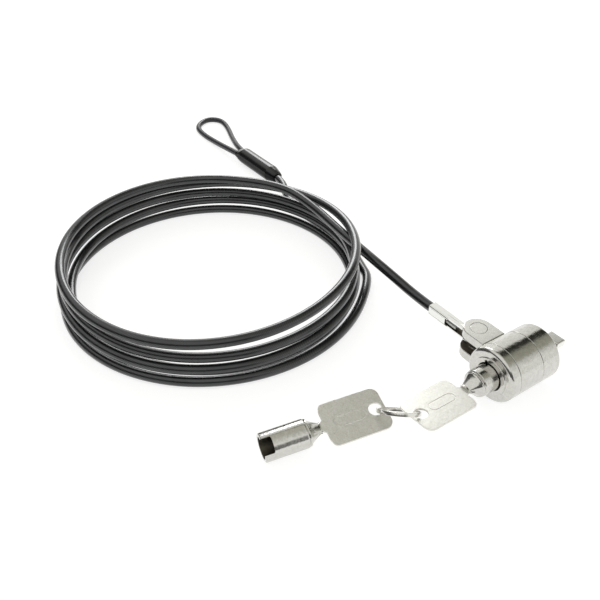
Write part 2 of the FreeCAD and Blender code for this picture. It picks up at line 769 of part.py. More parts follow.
def hole_place(lock):
    """The ring hole's middle from the key's mouth."""
    return lock.barrel_length + lock.cone_length + lock.bow_length - lock.bow_hole_margin


def first_hole(lock):
    """Middle of the ring hole of the key in the lock."""
    return key_frame(lock).multVec(V(0, -hole_place(lock).value, 0))


def spare_hole(lock):
    """Middle of the spare key's ring hole."""
    away = V(-lock.spare_side.value, -lock.spare_reach.value, -lock.spare_drop.value)
    return first_hole(lock) + away


def spare_frame(lock):
    """Placement of the spare key, held by the place of its ring hole."""
    along = V(*SPARE_HEADING).normalize()
    side = (-along).cross(Z_AXIS).normalize()
    up = side.cross(-along)
    level = FreeCAD.Rotation(side, -along, up, "YXZ")
    turn = level.multiply(FreeCAD.Rotation(Y_AXIS, SPARE_ROLL))
    return FreeCAD.Placement(spare_hole(lock) - along * hole_place(lock).value, turn)


def key_barrel(lock, prefix, label, frame):
    shoulder = -lock.barrel_length
    end = shoulder - lock.cone_length
    small = lock.barrel_chamfer
    points = (
        (0, -lock.barrel_depth), (0, end), (lock.cone_tip, end), (lock.cone_root, shoulder),
        (lock.barrel_radius - small, shoulder), (lock.barrel_radius, shoulder + small),
        (lock.barrel_radius, -small), (lock.barrel_radius - small, 0), (lock.barrel_bore, 0),
        (lock.barrel_bore, -lock.barrel_depth),
    )
    shell = turned(lock, prefix + "_shell", points)
    half = lock.notch_width / 2
    notch = box(lock, prefix + "_notch", (-half, -lock.notch_depth, 0),
                (half, 1, lock.barrel_radius + 1))
    disc = rod(lock, prefix + "_notch_round", lock.barrel_radius + 0.5,
               (0, -lock.notch_depth, 0), lock.notch_depth + 1, "Y")
    notch = clocked(common(lock, prefix + "_notch_tool", notch, disc), lock.notch_clock)
    slot = box(lock, prefix + "_slot",
               (-lock.tongue_width / 2 - lock.fit_gap, end - 1, -bow_half(lock) - lock.fit_gap),
               (lock.tongue_width / 2 + lock.fit_gap, end + lock.tongue_length,
                bow_half(lock) + lock.fit_gap))
    half = lock.nib_width / 2
    nib = box(lock, prefix + "_nib",
              (-half, -lock.nib_place - lock.nib_length, lock.barrel_bore + lock.fit_gap * 10),
              (half, -lock.nib_place, lock.barrel_radius + lock.nib_height))
    nib_disc = rod(lock, prefix + "_nib_round", lock.barrel_radius + lock.nib_height,
                   (0, -lock.nib_place - lock.nib_length, 0), lock.nib_length, "Y")
    nib_tool = common(lock, prefix + "_nib_tool", nib, nib_disc)
    whole = fuse(lock, prefix + "_nibbed", [shell, clocked(nib_tool, lock.nib_clock)])
    barrel = cut(lock, prefix + "_barrel", whole, [notch, slot])
    barrel.Placement = frame
    lock.keep(barrel, label)


def bow_half(lock):
    return lock.bow_thickness / 2


def key_bow(lock, prefix, label, frame):
    end = -lock.barrel_length - lock.cone_length
    neck = end - lock.bow_start
    wide = lock.bow_width / 2
    far = end - lock.bow_length
    tongue = lock.tongue_width / 2
    narrow = lock.bow_neck / 2
    shoulder = neck - lock.bow_shoulder
    body = new_body(lock, prefix + "_plate")
    sketch = sketch_on(lock, body, "XY_Plane", prefix + "_outline")
    points = (
        (-wide, far), (wide, far), (wide, shoulder), (narrow, neck), (tongue, end),
        (tongue, end + lock.tongue_length), (-tongue, end + lock.tongue_length), (-tongue, end),
        (-narrow, neck), (-wide, shoulder),
    )
    outline(sketch, points, {0: lock.bow_corner, 1: lock.bow_corner})
    pad = body.newObject("PartDesign::Pad", prefix + "_pad")
    pad.Profile = sketch
    bind(pad, "Length", lock.bow_thickness)
    pad.Midplane = True
    lock.doc.recompute()
    drill(lock, body, "XY_Plane", prefix + "_ring_hole",
          [(0, far + lock.bow_hole_margin, lock.bow_hole_radius)])
    middle = far + lock.bow_hole_margin + lock.bow_hole_radius + lock.panel_length / 2 + 1.3
    panel(lock, body, prefix, middle)
    round_edges(lock, body, prefix + "_round", lock.bow_corner * 0.7,
                lambda e: abs(abs(e.BoundBox.XMin) - wide.value) < 1e-4
                and abs(e.BoundBox.YMin - shoulder.value) < 1e-4
                and abs(e.BoundBox.YMax - shoulder.value) < 1e-4)
    body.Placement = frame
    lock.keep(body, label)


def slot_outline(sketch, first, middle, length, width):
    """A long outline with round ends along Y, its edges numbered from first."""
    half = width / 2
    high, low = middle + length / 2 - half, middle - length / 2 + half
    h, lo, r = high.value, low.value, half.value
    sketch.addGeometry(Part.ArcOfCircle(Part.Circle(V(0, h, 0), Z_AXIS, r), 0, math.pi))
    sketch.addGeometry(Part.LineSegment(V(-r, h, 0), V(-r, lo, 0)))
    lower = Part.Circle(V(0, lo, 0), Z_AXIS, r)
    sketch.addGeometry(Part.ArcOfCircle(lower, math.pi, 2 * math.pi))
    sketch.addGeometry(Part.LineSegment(V(r, lo, 0), V(r, h, 0)))
    for i in range(4):
        following = first + (i + 1) % 4
        sketch.addConstraint(Sketcher.Constraint("Coincident", first + i, 2, following, 1))
    for edge, side, end in ((0, half, high), (2, -half, low)):
        pin_point(sketch, first + edge, 3, 0, end)
        pin_point(sketch, first + edge, 1, side, end)
        level = Sketcher.Constraint("DistanceY", first + edge + 1, 1, end.value)
        number = sketch.addConstraint(level)
        sketch.setExpression("Constraints[%d]" % number, end.text)


def panel(lock, body, prefix, middle):
    """The stamped line round the bow's plain panel, on both sides of the plate."""
    for side, name in ((1, "_line_top"), (-1, "_line_foot")):
        sketch = sketch_on(lock, body, "XY_Plane", prefix + name)
        slot_outline(sketch, 0, middle, lock.panel_length, lock.panel_width)
        inner = lock.panel_line * 2
        slot_outline(sketch, 4, middle, lock.panel_length - inner, lock.panel_width - inner)
        bind(sketch, "AttachmentOffset.Base.z", bow_half(lock) * side)
        line = body.newObject("PartDesign::Pocket", prefix + name + "_cut")
        line.Profile = sketch
        line.Reversed = side < 0
        bind(line, "Length", lock.panel_depth)
        lock.doc.recompute()


def key_ring(lock):
    outer, inner = lock.ring_radius, lock.ring_radius - lock.ring_width
    half, gap, deep = lock.ring_height / 2, lock.ring_split / 2, lock.ring_split_depth
    points = (
        (inner, -half), (outer, -half), (outer, -gap), (outer - deep, -gap), (outer - deep, gap),
        (outer, gap), (outer, half), (inner, half), (inner, gap), (inner + deep, gap),
        (inner + deep, -gap), (inner, -gap),
    )
    body = turned(lock, "ring_body", points)
    body.Placement = ring_frame(lock)
    lock.keep(body, "key_ring")


def ring_frame(lock):
    """The ring lies on the line between the two holes, its near side up."""
    first, second = first_hole(lock), spare_hole(lock)
    along = (second - first).normalize()
    near = V(-along.y, along.x, 0).normalize()
    tilt = math.radians(RING_TILT)
    across = near * math.cos(tilt) + Z_AXIS * math.sin(tilt)
    axis = along.cross(across).normalize()
    turn = FreeCAD.Rotation(along, axis, along.cross(axis), "YXZ")
    return FreeCAD.Placement((first + second) / 2 + along * RING_SHIFT, turn)


# The covered cable, its coil and the anchor loop.

def desk(lock):
    return -lock.head_radius.value


def coil_nodes(lock):
    """Points of the coil and its directions there."""
    places, ways = [], []
    base = V(COIL_CENTRE[0], COIL_CENTRE[1], desk(lock))
    for i, (turns, radius, height) in enumerate(COIL):
        angle = math.radians(COIL_START + 360 * turns)
        out, on = V(math.cos(angle), math.sin(angle), 0), V(-math.sin(angle), math.cos(angle), 0)
        low, high = COIL[max(i - 1, 0)], COIL[min(i + 1, len(COIL) - 1)]
        sweep = 2 * math.pi * (high[0] - low[0])
        growth, climb = (high[1] - low[1]) / sweep, (high[2] - low[2]) / sweep
        places.append(base + out * radius + Z_AXIS * height)
        ways.append((out * growth + on * radius + Z_AXIS * climb).normalize())
    return places, ways


def arc_through(start, way, end):
    """The arc that leaves start along way and reaches end, as an edge, and its middle."""
    chord = end - start
    unit = V(chord).normalize()
    half = math.acos(max(-1.0, min(1.0, way * unit)))
    normal = (way - unit * math.cos(half)).normalize()
    radius = chord.Length / 2 / math.sin(half)
    middle = start + chord / 2 + normal * radius * (1 - math.cos(half))
    return Part.Arc(start, middle, end).toShape(), radius


def biarc(start, way, end, last):
    """Two arcs that join at a common direction."""
    v, t = end - start, way + last
    a, b, c = 2 * (1 - way * last), 2 * (v * t), v * v
    d = (-b + math.sqrt(b * b + 4 * a * c)) / (2 * a)
    joint = (start + way * d + end - last * d) / 2
    first, r1 = arc_through(start, way, joint)
    second, r2 = arc_through(end, -last, joint)
    back = Part.Arc(joint, second.valueAt(second.LastParameter / 2), end).toShape()
    return [first, back], [r1, r2]


def coil_path(lock):
    places, ways = coil_nodes(lock)
    lead_end, tail_end = places[0] - ways[0] * STRAIGHT, places[-1] + ways[-1] * STRAIGHT
    edges, radii = [Part.LineSegment(lead_end, places[0]).toShape()], []
    for i in range(len(places) - 1):
        arcs, found = biarc(places[i], ways[i], places[i + 1], ways[i + 1])
        edges += arcs
        radii += found
    edges.append(Part.LineSegment(places[-1], tail_end).toShape())
    return edges, radii


def bent_path(points):
    """Straight runs joined by tangent arcs as large as their runs allow."""
    edges, radii, start = [], [], points[0]
    for before, corner, after in zip(points, points[1:], points[2:]):
        back, on = (before - corner), (after - corner)
        turn = math.pi - back.getAngle(on)
        reach = 0.45 * min(back.Length, on.Length)
        radius = reach / math.tan(turn / 2)
        first = corner + V(back).normalize() * reach
        last = corner + V(on).normalize() * reach
        bisector = (V(back).normalize() + V(on).normalize()).normalize()
        middle = corner + bisector * (radius / math.cos(turn / 2) - radius)
        edges.append(Part.LineSegment(start, first).toShape())
        edges.append(Part.Arc(first, middle, last).toShape())
        radii.append(radius)
        start = last
    edges.append(Part.LineSegment(start, points[-1]).toShape())
    return edges, radii


def tube(lock, label, edges, radii, radius):
    """A round tube along joined edges; its volume is compared with section times length."""
    path = Part.Wire(edges)
    start = edges[0].valueAt(edges[0].FirstParameter)
    way = edges[0].tangentAt(edges[0].FirstParameter)
    section = Part.Wire([Part.Circle(start, way, radius).toShape()])
    shape = path.makePipeShell([section], True, False)
    expected = math.pi * radius ** 2 * path.Length
    print("%s: length %.1f, least radius %.1f, volume %.4f of its section times length"
          % (label, path.Length, min(radii), shape.Volume / expected))
    print("   radii", " ".join("%.0f" % r for r in radii))
    obj = lock.doc.addObject("Part::Feature", label)
    obj.Shape = shape
    obj.Placement = FreeCAD.Placement()
    lock.keep(obj, label)
    return path


def sampled(edges, step=0.8):
    """Points along joined edges with their distance from the start."""
    points, far = [], 0.0
    for edge in edges:
        count = max(2, int(edge.Length / step) + 1)
        for i in range(count):
            share = i / count
            spot = edge.FirstParameter + (edge.LastParameter - edge.FirstParameter) * share
            points.append((far + edge.Length * share, edge.valueAt(spot)))
        far += edge.Length
    return points


def least_gap(first, second, width, apart=0.0):
    """The least distance between two sampled paths, less the tube's width."""
    best = 1e9
    for far_a, a in first:
        for far_b, b in second:
            if apart and far_b - far_a < apart:
                continue
            x, y, z = a.x - b.x, a.y - b.y, a.z - b.z
            best = min(best, x * x + y * y + z * z)
    return math.sqrt(best) - width


def sleeve_frame(lock):
    """The sleeve lies on the desk, its axis Y towards the loop."""
    place = V(SLEEVE_PLACE[0], SLEEVE_PLACE[1], desk(lock) + lock.sleeve_radius.value)
    return FreeCAD.Placement(place, FreeCAD.Rotation(Z_AXIS, SLEEVE_HEADING - 90))


def on_desk(lock, points):
    return [V(x, y, desk(lock) + height) for x, y, height in points]


def lead_points(lock):
    places, ways = coil_nodes(lock)
    cable = fitting_stations(lock)[2].value
    end = V(cable, rivet_y(lock).value, 0)
    start = places[0] - ways[0] * STRAIGHT
    middle = on_desk(lock, LEAD)
    return [start, start - ways[0] * 12] + middle + [end - X_AXIS * LEAD_RUN, end]


def tail_points(lock):
    places, ways = coil_nodes(lock)
    start = places[-1] + ways[-1] * STRAIGHT
    frame = sleeve_frame(lock)
    last = [frame.multVec(V(0, -TAIL_RUN, 0)), frame.multVec(V(0, lock.sleeve_throat.value, 0))]
    return [start, start + ways[-1] * 12] + on_desk(lock, TAIL) + last


def loop_points(lock):
    """The anchor loop from one leg in the sleeve round to the other."""
    frame = sleeve_frame(lock)
    foot = lock.sleeve_throat.value + lock.ferrule_length.value
    spread = lock.leg_spread.value
    neck = V(0, 40, 0)
    end = V(LOOP_END[0], LOOP_END[1], 0)
    along = (end - neck).normalize()
    across = V(along.y, -along.x, 0)
    reach = (end - neck).Length
    rest = lock.loop_wire_radius.value + 0.07 - lock.sleeve_radius.value
    legs = [(18.4, 4.6, rest + 0.8), (34.6, 7.3, rest)]
    turn, outer = math.radians(49.3), LOOP_RADIUS / math.cos(math.radians(24.65))
    legs.append((reach + outer * math.cos(turn * 1.5), outer * math.sin(turn * 1.5), rest))
    legs.append((reach + outer * math.cos(turn * 0.5), outer * math.sin(turn * 0.5), rest))
    sides = []
    for side in (-1, 1):
        points = [V(side * spread, foot, 0), V(side * spread, 45.5, 0)]
        for far, wide, height in legs:
            points.append(neck + along * far + across * (side * wide) + Z_AXIS * height)
        sides.append(points)
    return [frame.multVec(p) for p in sides[0] + sides[1][::-1]]


def cable(lock):
    radius = lock.cable_radius.value
    coil, radii = coil_path(lock)
    tube(lock, "cable_coil", coil, radii, radius)
    lead, found = bent_path(lead_points(lock))
    tube(lock, "cable_lead", lead, found, radius)
    tail, found = bent_path(tail_points(lock))
    tube(lock, "cable_tail", tail, found, radius)
    loop, found = bent_path(loop_points(lock))
    tube(lock, "cable_loop", loop, found, lock.loop_wire_radius.value)
    wound = sampled(coil)
    start, end = wound[0][0], wound[-1][0]
    print("least gap of the coil to itself %.2f" % least_gap(wound, wound, 2 * radius, 60.0))
    past_lead = [p for p in wound if p[0] > start + 40]
    past_tail = [p for p in wound if p[0] < end - 40]
    print("lead to coil %.2f" % least_gap(sampled(lead), past_lead, 2 * radius))
    print("tail to coil %.2f" % least_gap(sampled(tail), past_tail, 2 * radius))


def loop_sleeve(lock):
    outer, length = lock.sleeve_radius, lock.sleeve_length
    bore = outer - lock.sleeve_wall
    throat = lock.cable_radius + lock.fit_gap * 2
    points = (
        (throat, 0), (throat + 0.8, 0), (outer - 0.95, 2.2), (outer - 0.45, 2.6),
        (outer, lock.sleeve_throat + 1), (outer, length - 5), (outer - 0.2, length),
        (bore, length), (bore, lock.sleeve_throat), (throat, lock.sleeve_throat),
    )
    body = turned(lock, "sleeve_body", points)
    body.Placement = sleeve_frame(lock)
    lock.keep(body, "loop_sleeve")


def loop_ferrule(lock):
    radius = lock.sleeve_radius - lock.sleeve_wall - lock.fit_gap
    low, high = lock.sleeve_throat, lock.sleeve_throat + lock.ferrule_length
    body = turned(lock, "ferrule_body", ((0, low), (radius, low), (radius, high), (0, high)))
    body.Placement = sleeve_frame(lock)
    lock.keep(body, "loop_ferrule")


def build(lock):
    front_cap(lock)
    swivel_collar(lock)
    rear_sleeve(lock)
    lock_housing(lock)
    nose_bush(lock)
    anti_rotation_pins(lock)
    spindle(lock)
    driver_block(lock)
    tumblers(lock)
    block_pin(lock)
    t_bar(lock)
    drive_pin(lock)
    rivet(lock)
    cable_fitting(lock)
    rope_end(lock)
    cable(lock)
    loop_sleeve(lock)
    loop_ferrule(lock)
    key_barrel(lock, "key", "key_barrel", key_frame(lock))
    key_bow(lock, "key_b", "key_bow", key_frame(lock))
    key_barrel(lock, "spare", "spare_key_barrel", spare_frame(lock))
    key_bow(lock, "spare_b", "spare_key_bow", spare_frame(lock))
    key_ring(lock)


def main():
    lock = Lock()
    build(lock)
    lock.doc.recompute()
    for obj in lock.doc.Objects:
        if "Invalid" in obj.State or "Error" in obj.State:
            raise RuntimeError("%s did not build: %s" % (obj.Label, obj.State))
    os.makedirs("parts", exist_ok=True)
    for obj in lock.nodes:
        shape = obj.Shape
        if shape.isNull() or not shape.isValid():
            raise RuntimeError("%s has no valid shape" % obj.Label)
        print("%-20s %2d solids %10.2f mm3" % (obj.Label, len(shape.Solids), shape.Volume))
    for obj in lock.nodes:
        obj.Shape.exportStep("parts/%s.step" % obj.Label)


main()
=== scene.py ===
"""Studio scene of a laptop cable lock.

A swivelling nickel-plated lock head on a coiled, vinyl-covered steel cable with an anchor
loop, and two tubular keys on a split ring.  Sizes inside the classes are millimetres in the
lock's own frame: the lock axis is Y, out of the nose, and Z is up.
"""
from __future__ import annotations

import json
import logging
import math
from dataclasses import dataclass, field
from enum import Enum
from typing import Callable, Iterable, Optional, Sequence, Union

import bmesh
import bpy
from mathutils import Matrix, Vector

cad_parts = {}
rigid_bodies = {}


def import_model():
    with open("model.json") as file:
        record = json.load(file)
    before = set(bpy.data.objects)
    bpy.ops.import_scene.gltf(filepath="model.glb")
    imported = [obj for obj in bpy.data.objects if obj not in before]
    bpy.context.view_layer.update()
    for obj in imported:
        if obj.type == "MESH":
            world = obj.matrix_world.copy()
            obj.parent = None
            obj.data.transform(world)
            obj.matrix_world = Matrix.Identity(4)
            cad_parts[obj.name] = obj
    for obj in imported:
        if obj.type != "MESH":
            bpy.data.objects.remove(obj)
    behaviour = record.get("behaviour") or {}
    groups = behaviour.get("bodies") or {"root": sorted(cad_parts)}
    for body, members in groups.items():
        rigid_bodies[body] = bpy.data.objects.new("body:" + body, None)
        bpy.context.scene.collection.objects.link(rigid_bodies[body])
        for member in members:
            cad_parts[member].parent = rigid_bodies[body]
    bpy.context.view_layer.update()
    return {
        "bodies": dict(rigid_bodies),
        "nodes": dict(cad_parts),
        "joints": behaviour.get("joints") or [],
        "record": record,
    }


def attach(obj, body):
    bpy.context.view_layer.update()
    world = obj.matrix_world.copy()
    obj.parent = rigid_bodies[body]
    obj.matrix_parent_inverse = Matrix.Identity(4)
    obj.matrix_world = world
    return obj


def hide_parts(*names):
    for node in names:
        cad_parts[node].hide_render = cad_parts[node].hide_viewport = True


Colour = tuple[float, float, float]
Flat = tuple[float, float]
Piece = bpy.types.Object
Socket = bpy.types.NodeSocket
Value = Union[float, Socket]
Tint = Union[Colour, Socket]

LOG = logging.getLogger("cable_lock")
MM = 0.001
# Height of the desk under the lock axis.
DESK = -10.65
# The middle of the cable joint's rivet.
RIVET: Flat = (-16.4, -19.05)
# Where the cable enters the moulded sleeve, and where the sleeve points.
SLEEVE: Flat = (-175.9, -3.3)
SLEEVE_HEADING = 181.0
# Middles of the two bows' holes, and how far each is from its key's mouth.
KEY_HOLES = ((0.0, -61.7, 0.0), (-12.1, -71.2, -2.4))
HOLE_TO_MOUTH = 41.2
# Millimetres of cable for one unit of its lay map, and the shortest step of its line.
LAY_UNIT = 10.0
LINE_STEP = 0.35
# A corner that turns less, in radians, stays; an arc takes no more than this of an edge.
STRAIGHT = 0.05
EDGE_SHARE = 0.49
BLACK: Colour = (0.0, 0.0, 0.0)
LEVEL = Matrix.Identity(4)
# Lays a plate's heights along the lock axis, with its y upwards.
ON_AXIS = Matrix(((1, 0, 0, 0), (0, 0, 1, 0), (0, 1, 0, 0), (0, 0, 0, 1)))
# Quarter turns about X, which take Z to +Y and Y to +Z.
Z_TO_Y = Matrix.Rotation(math.radians(-90), 4, "X")
Y_TO_Z = Matrix.Rotation(math.radians(90), 4, "X")


class Body(Enum):
    """Moving bodies of the lock, by their names in the frame."""

    CABLE = "cable"
    COLLAR = "collar"
    HEAD = "head"
    PLUG = "plug"
    KEY = "key"
    RING = "ring"
    SPARE = "spare_key"


class Blend(Enum):
    """How a tool meets a blank."""

    CUT = "DIFFERENCE"
    JOIN = "UNION"


# Finishes


class Graph:
    """A node tree under construction."""

    def __init__(self, tree: bpy.types.NodeTree) -> None:
        """Starts from an empty tree."""
        self.tree = tree
        tree.nodes.clear()

    def node(self, kind: str, inputs: Optional[dict] = None,
             **settings: object) -> bpy.types.Node:
        """Adds one node.

        Args:
            kind: Blender's name of the node.
            inputs: socket name or number to a value, a colour or another node's output.
            **settings: properties of the node.

        Returns:
            The new node.
        """
        made = self.tree.nodes.new(kind)
        for name, value in settings.items():
            setattr(made, name, value)
        for key, value in (inputs or {}).items():
            target = made.inputs[key]
            if isinstance(value, Socket):
                self.tree.links.new(value, target)
            else:
                target.default_value = (*value, 1.0) if target.type == "RGBA" else value
        return made

    def math(self, operation: str, a: Value, b: Value = 0.0, clamp: bool = False) -> Socket:
        """One arithmetic step, held between 0 and 1 if clamp is set."""
        made = self.node("ShaderNodeMath", {0: a, 1: b}, operation=operation, use_clamp=clamp)
        return made.outputs[0]

    def times(self, a: Value, b: Value) -> Socket:
        """The product of two values."""
        return self.math("MULTIPLY", a, b)

    def plus(self, a: Value, b: Value) -> Socket:
        """The sum of two values."""
        return self.math("ADD", a, b)

    def swing(self, value: Value, size: Value) -> Socket:
        """How far a value is from 0.5, times a size."""
        return self.times(self.math("SUBTRACT", value, 0.5), size)

    def place(self) -> Socket:
        """The shaded point in its object's space."""
        return self.node("ShaderNodeTexCoord").outputs["Object"]

    def noise(self, place: Socket, scale: float, detail: float = 2.0,
              rough: float = 0.5) -> Socket:
        """A noise value between 0 and 1, with the scale in cells per metre."""
        inputs = {"Vector": place, "Scale": scale, "Detail": detail, "Roughness": rough}
        return self.node("ShaderNodeTexNoise", inputs).outputs[0]

    def ramp(self, value: Socket, low: float, high: float, to_low: float = 0.0,
             to_high: float = 1.0) -> Socket:
        """Maps what lies between low and high smoothly between to_low and to_high."""
        inputs = {0: value, 1: low, 2: high, 3: to_low, 4: to_high}
        return self.node("ShaderNodeMapRange", inputs, interpolation_type="SMOOTHSTEP").outputs[0]

    def mix(self, share: Value, a: Tint, b: Tint) -> Socket:
        """Mixes two colours: a where the share is 0, b where it is 1."""
        return self.node("ShaderNodeMix", {0: share, 6: a, 7: b}, data_type="RGBA").outputs[2]

    def bump(self, height: Socket, strength: Value, distance: float) -> Socket:
        """The normal of a relief, with the distance in metres."""
        inputs = {"Strength": strength, "Distance": distance, "Height": height}
        return self.node("ShaderNodeBump", inputs).outputs[0]


class Group(Graph):
    """A node group with named inputs and outputs."""

    def __init__(self, name: str, kind: str, inputs: dict[str, object],
                 outputs: dict[str, str]) -> None:
        """Starts a group.

        Args:
            name: the group's name.
            kind: Blender's name of its kind of tree.
            inputs: each input's name and its default, or its socket type if it has none.
            outputs: each output's name and socket type.
        """
        super().__init__(bpy.data.node_groups.new(name, kind))
        numbers = {float: "NodeSocketFloat", int: "NodeSocketInt"}
        self.identifiers = {}
        for label, value in inputs.items():
            socket = self.tree.interface.new_socket(
                label, in_out="INPUT", socket_type=numbers.get(type(value), value))
            if type(value) in numbers:
                socket.default_value = value
            self.identifiers[label] = socket.identifier
        for label, value in outputs.items():
            self.tree.interface.new_socket(label, in_out="OUTPUT", socket_type=value)
        self.source = self.node("NodeGroupInput").outputs


def plating_group() -> bpy.types.NodeTree:
    """The group for clouded, faintly scratched plate, built at the first call.

    Returns:
        A group with outputs Cloud, Roughness and Normal.
    """
    found = bpy.data.node_groups.get("clouded_plate")
    if found is not None:
        return found
    value = "NodeSocketFloat"
    graph = Group("clouded_plate", "ShaderNodeTree",
                  {"Mottle": 0.5, "Grain": 0.3, "Roughness": 0.2, "Relief": 0.2},
                  {"Cloud": value, "Roughness": value, "Normal": "NodeSocketVector"})
    place, source = graph.place(), graph.source
    cloud, fine = graph.noise(place, 700.0), graph.noise(place, 2200.0)
    stretched = graph.node("ShaderNodeMapping", {"Vector": place, "Scale": (1.0, 14.0, 1.0)})
    hair = graph.ramp(graph.noise(stretched.outputs[0], 520.0), 0.42, 0.6)
    total = graph.plus(graph.swing(cloud, source["Mottle"]), graph.swing(fine, source["Grain"]))
    total = graph.math("ADD", total, 0.5, clamp=True)
    rough = graph.plus(graph.swing(total, 0.25), graph.times(hair, 0.03))
    rough = graph.math("MAXIMUM", graph.plus(source["Roughness"], rough), 0.1)
    height = graph.plus(cloud, graph.times(fine, 0.12))
    height = graph.plus(height, graph.times(hair, 0.05))
    normal = graph.bump(height, source["Relief"], 0.00012)
    graph.node("NodeGroupOutput", {"Cloud": total, "Roughness": rough, "Normal": normal})
    return graph.tree


@dataclass(frozen=True)
class Finish:
    """A surface with a name, whose material is built once."""

    name: str

    def surface(self, graph: Graph) -> dict:
        """Inputs of the surface's Principled shader, by name."""
        raise NotImplementedError

    def material(self) -> bpy.types.Material:
        """Builds the material at the first call.

        Returns:
            The material.
        """
        made = bpy.data.materials.get(self.name)
        if made is None:
            made = bpy.data.materials.new(self.name)
            made.use_nodes = True
            graph = Graph(made.node_tree)
            shader = graph.node("ShaderNodeBsdfPrincipled", self.surface(graph))
            graph.node("ShaderNodeOutputMaterial", {"Surface": shader.outputs[0]})
        return made


@dataclass(frozen=True)
class PlatedMetal(Finish):
    """A plated or bare metal surface."""

    light: Colour
    dark: Colour
    roughness: float
    mottle: float
    grain: float
    relief: float

    def surface(self, graph: Graph) -> dict:
        """Metal with the clouds and scratches of plate.

        Args:
            graph: the material's graph.

        Returns:
            Inputs of the Principled shader.
        """
        inputs = {"Mottle": self.mottle, "Grain": self.grain, "Roughness": self.roughness,
                  "Relief": self.relief}
        plated = graph.node("ShaderNodeGroup", inputs, node_tree=plating_group()).outputs
        return {"Base Color": graph.mix(plated["Cloud"], self.dark, self.light),
                "Metallic": 1.0, "Roughness": plated["Roughness"], "Normal": plated["Normal"]}


@dataclass(frozen=True)
class SmokedJacket(Finish):
    """Glossy vinyl over steel rope whose lay shows through."""

    strands: float = 15.0
    pitch: float = 0.95
    dark: Colour = (0.012, 0.0125, 0.014)
    lay: Colour = (0.07, 0.072, 0.076)

    def surface(self, graph: Graph) -> dict:
        """Slanting strands under a coat.

        Args:
            graph: the material's graph.

        Returns:
            Inputs of the Principled shader.
        """
        lay_map = graph.node("ShaderNodeUVMap", uv_map="lay").outputs[0]
        parts = graph.node("ShaderNodeSeparateXYZ", {0: lay_map}).outputs
        turn = graph.plus(graph.times(parts[0], LAY_UNIT / self.pitch),
                          graph.times(parts[1], self.strands))
        wave = graph.math("SINE", graph.times(turn, 2 * math.pi))
        ridge = graph.times(graph.plus(wave, 1.0), 0.5)
        place = graph.place()
        cloud, fine = graph.noise(place, 90.0, 4.0, 0.6), graph.noise(place, 700.0)
        show = graph.times(ridge, graph.ramp(cloud, 0.35, 0.7, 0.55))
        height = graph.plus(graph.times(ridge, 0.6), graph.times(fine, 0.25))
        return {"Base Color": graph.mix(show, self.dark, self.lay), "Metallic": 0.8,
                "Roughness": graph.ramp(fine, 0.3, 0.7, 0.27, 0.34),
                "Normal": graph.bump(height, 0.22, 0.0001),
                "Coat Weight": 0.85, "Coat Roughness": 0.13}


@dataclass(frozen=True)
class MouldedVinyl(Finish):
    """Plain moulded vinyl with a faint flow texture, and a painted highlight: a clear coat on its
    upper side only.
    """

    colour: Colour = (0.003, 0.003, 0.0035)
    worn: Colour = (0.009, 0.009, 0.0095)
    sheen_heights: Flat = (4.4, 7.6)

    def surface(self, graph: Graph) -> dict:
        """Vinyl with a painted highlight: its coat grows between two heights over the desk, so the
        upper side shines and the underside stays dark.

        Args:
            graph: the material's graph.

        Returns:
            Inputs of the Principled shader.
        """
        place = graph.place()
        flow, fine = graph.noise(place, 260.0, 4.0, 0.6), graph.noise(place, 1500.0)
        relief = graph.plus(flow, graph.times(fine, 0.4))
        height = graph.node("ShaderNodeSeparateXYZ", {0: place}).outputs[2]
        # Painted highlight: the coat weight rises with height, so only the upper side shines.
        low, high = ((DESK + level) * MM for level in self.sheen_heights)
        return {"Base Color": graph.mix(graph.ramp(flow, 0.45, 0.75), self.colour, self.worn),
                "Roughness": graph.ramp(flow, 0.3, 0.7, 0.16, 0.27),
                "Normal": graph.bump(relief, 0.12, 0.0002), "Specular IOR Level": 0.12,
                "Coat Weight": graph.ramp(height, low, high, 0.0, 0.8), "Coat Roughness": 0.2}


NICKEL = PlatedMetal("nickel_plate", (0.70, 0.69, 0.66), (0.50, 0.495, 0.46), 0.12, 0.9, 0.9, 0.42)
LAPPED = PlatedMetal("lapped_plate", (0.91, 0.905, 0.875), (0.80, 0.795, 0.76), 0.2, 0.4, 0.5, 0.1)
STRAP = PlatedMetal("bright_strap", (0.92, 0.92, 0.90), (0.80, 0.795, 0.77), 0.26, 0.5, 0.6, 0.2)
KEY_STEEL = PlatedMetal("satin_key", (0.90, 0.895, 0.86), (0.67, 0.66, 0.61), 0.36, 0.5, 1.3, 0.35)
RING_STEEL = PlatedMetal("ring_plate", (0.86, 0.85, 0.82), (0.66, 0.65, 0.61), 0.14, 0.5, 0.4, 0.2)
# Painted shade: a dark finish for faces in the key bores, inside the folded strap and between the
# ears, where shade falls.
HOLLOW_SHADE = PlatedMetal("painted_hollow_shade", (0.17, 0.155, 0.12), (0.06, 0.055, 0.04), 0.5, 0.6, 0.4, 0.3)
TURNED = PlatedMetal("turned_steel", (0.62, 0.62, 0.6), (0.42, 0.42, 0.4), 0.32, 0.5, 0.5, 0.2)
BRASS = PlatedMetal("turned_brass", (0.80, 0.63, 0.30), (0.6, 0.45, 0.2), 0.28, 0.5, 0.4, 0.15)
ROPE = PlatedMetal("bare_rope", (0.6, 0.6, 0.57), (0.3, 0.3, 0.28), 0.35, 0.8, 0.6, 0.3)
JACKET = SmokedJacket("smoked_jacket")
LOOP_JACKET = SmokedJacket("loop_jacket", 12.0, 0.85, (0.006, 0.0065, 0.008), (0.04, 0.041, 0.044))
VINYL = MouldedVinyl("moulded_vinyl")


# Mesh tools


def link(name: str, data: bpy.types.ID) -> Piece:
    """Puts data into the scene.

    Args:
        name: the object's name.
        data: the object's mesh, curve, lamp or camera.

    Returns:
        The linked object.
    """
    made = bpy.data.objects.new(name, data)
    bpy.context.scene.collection.objects.link(made)
    return made


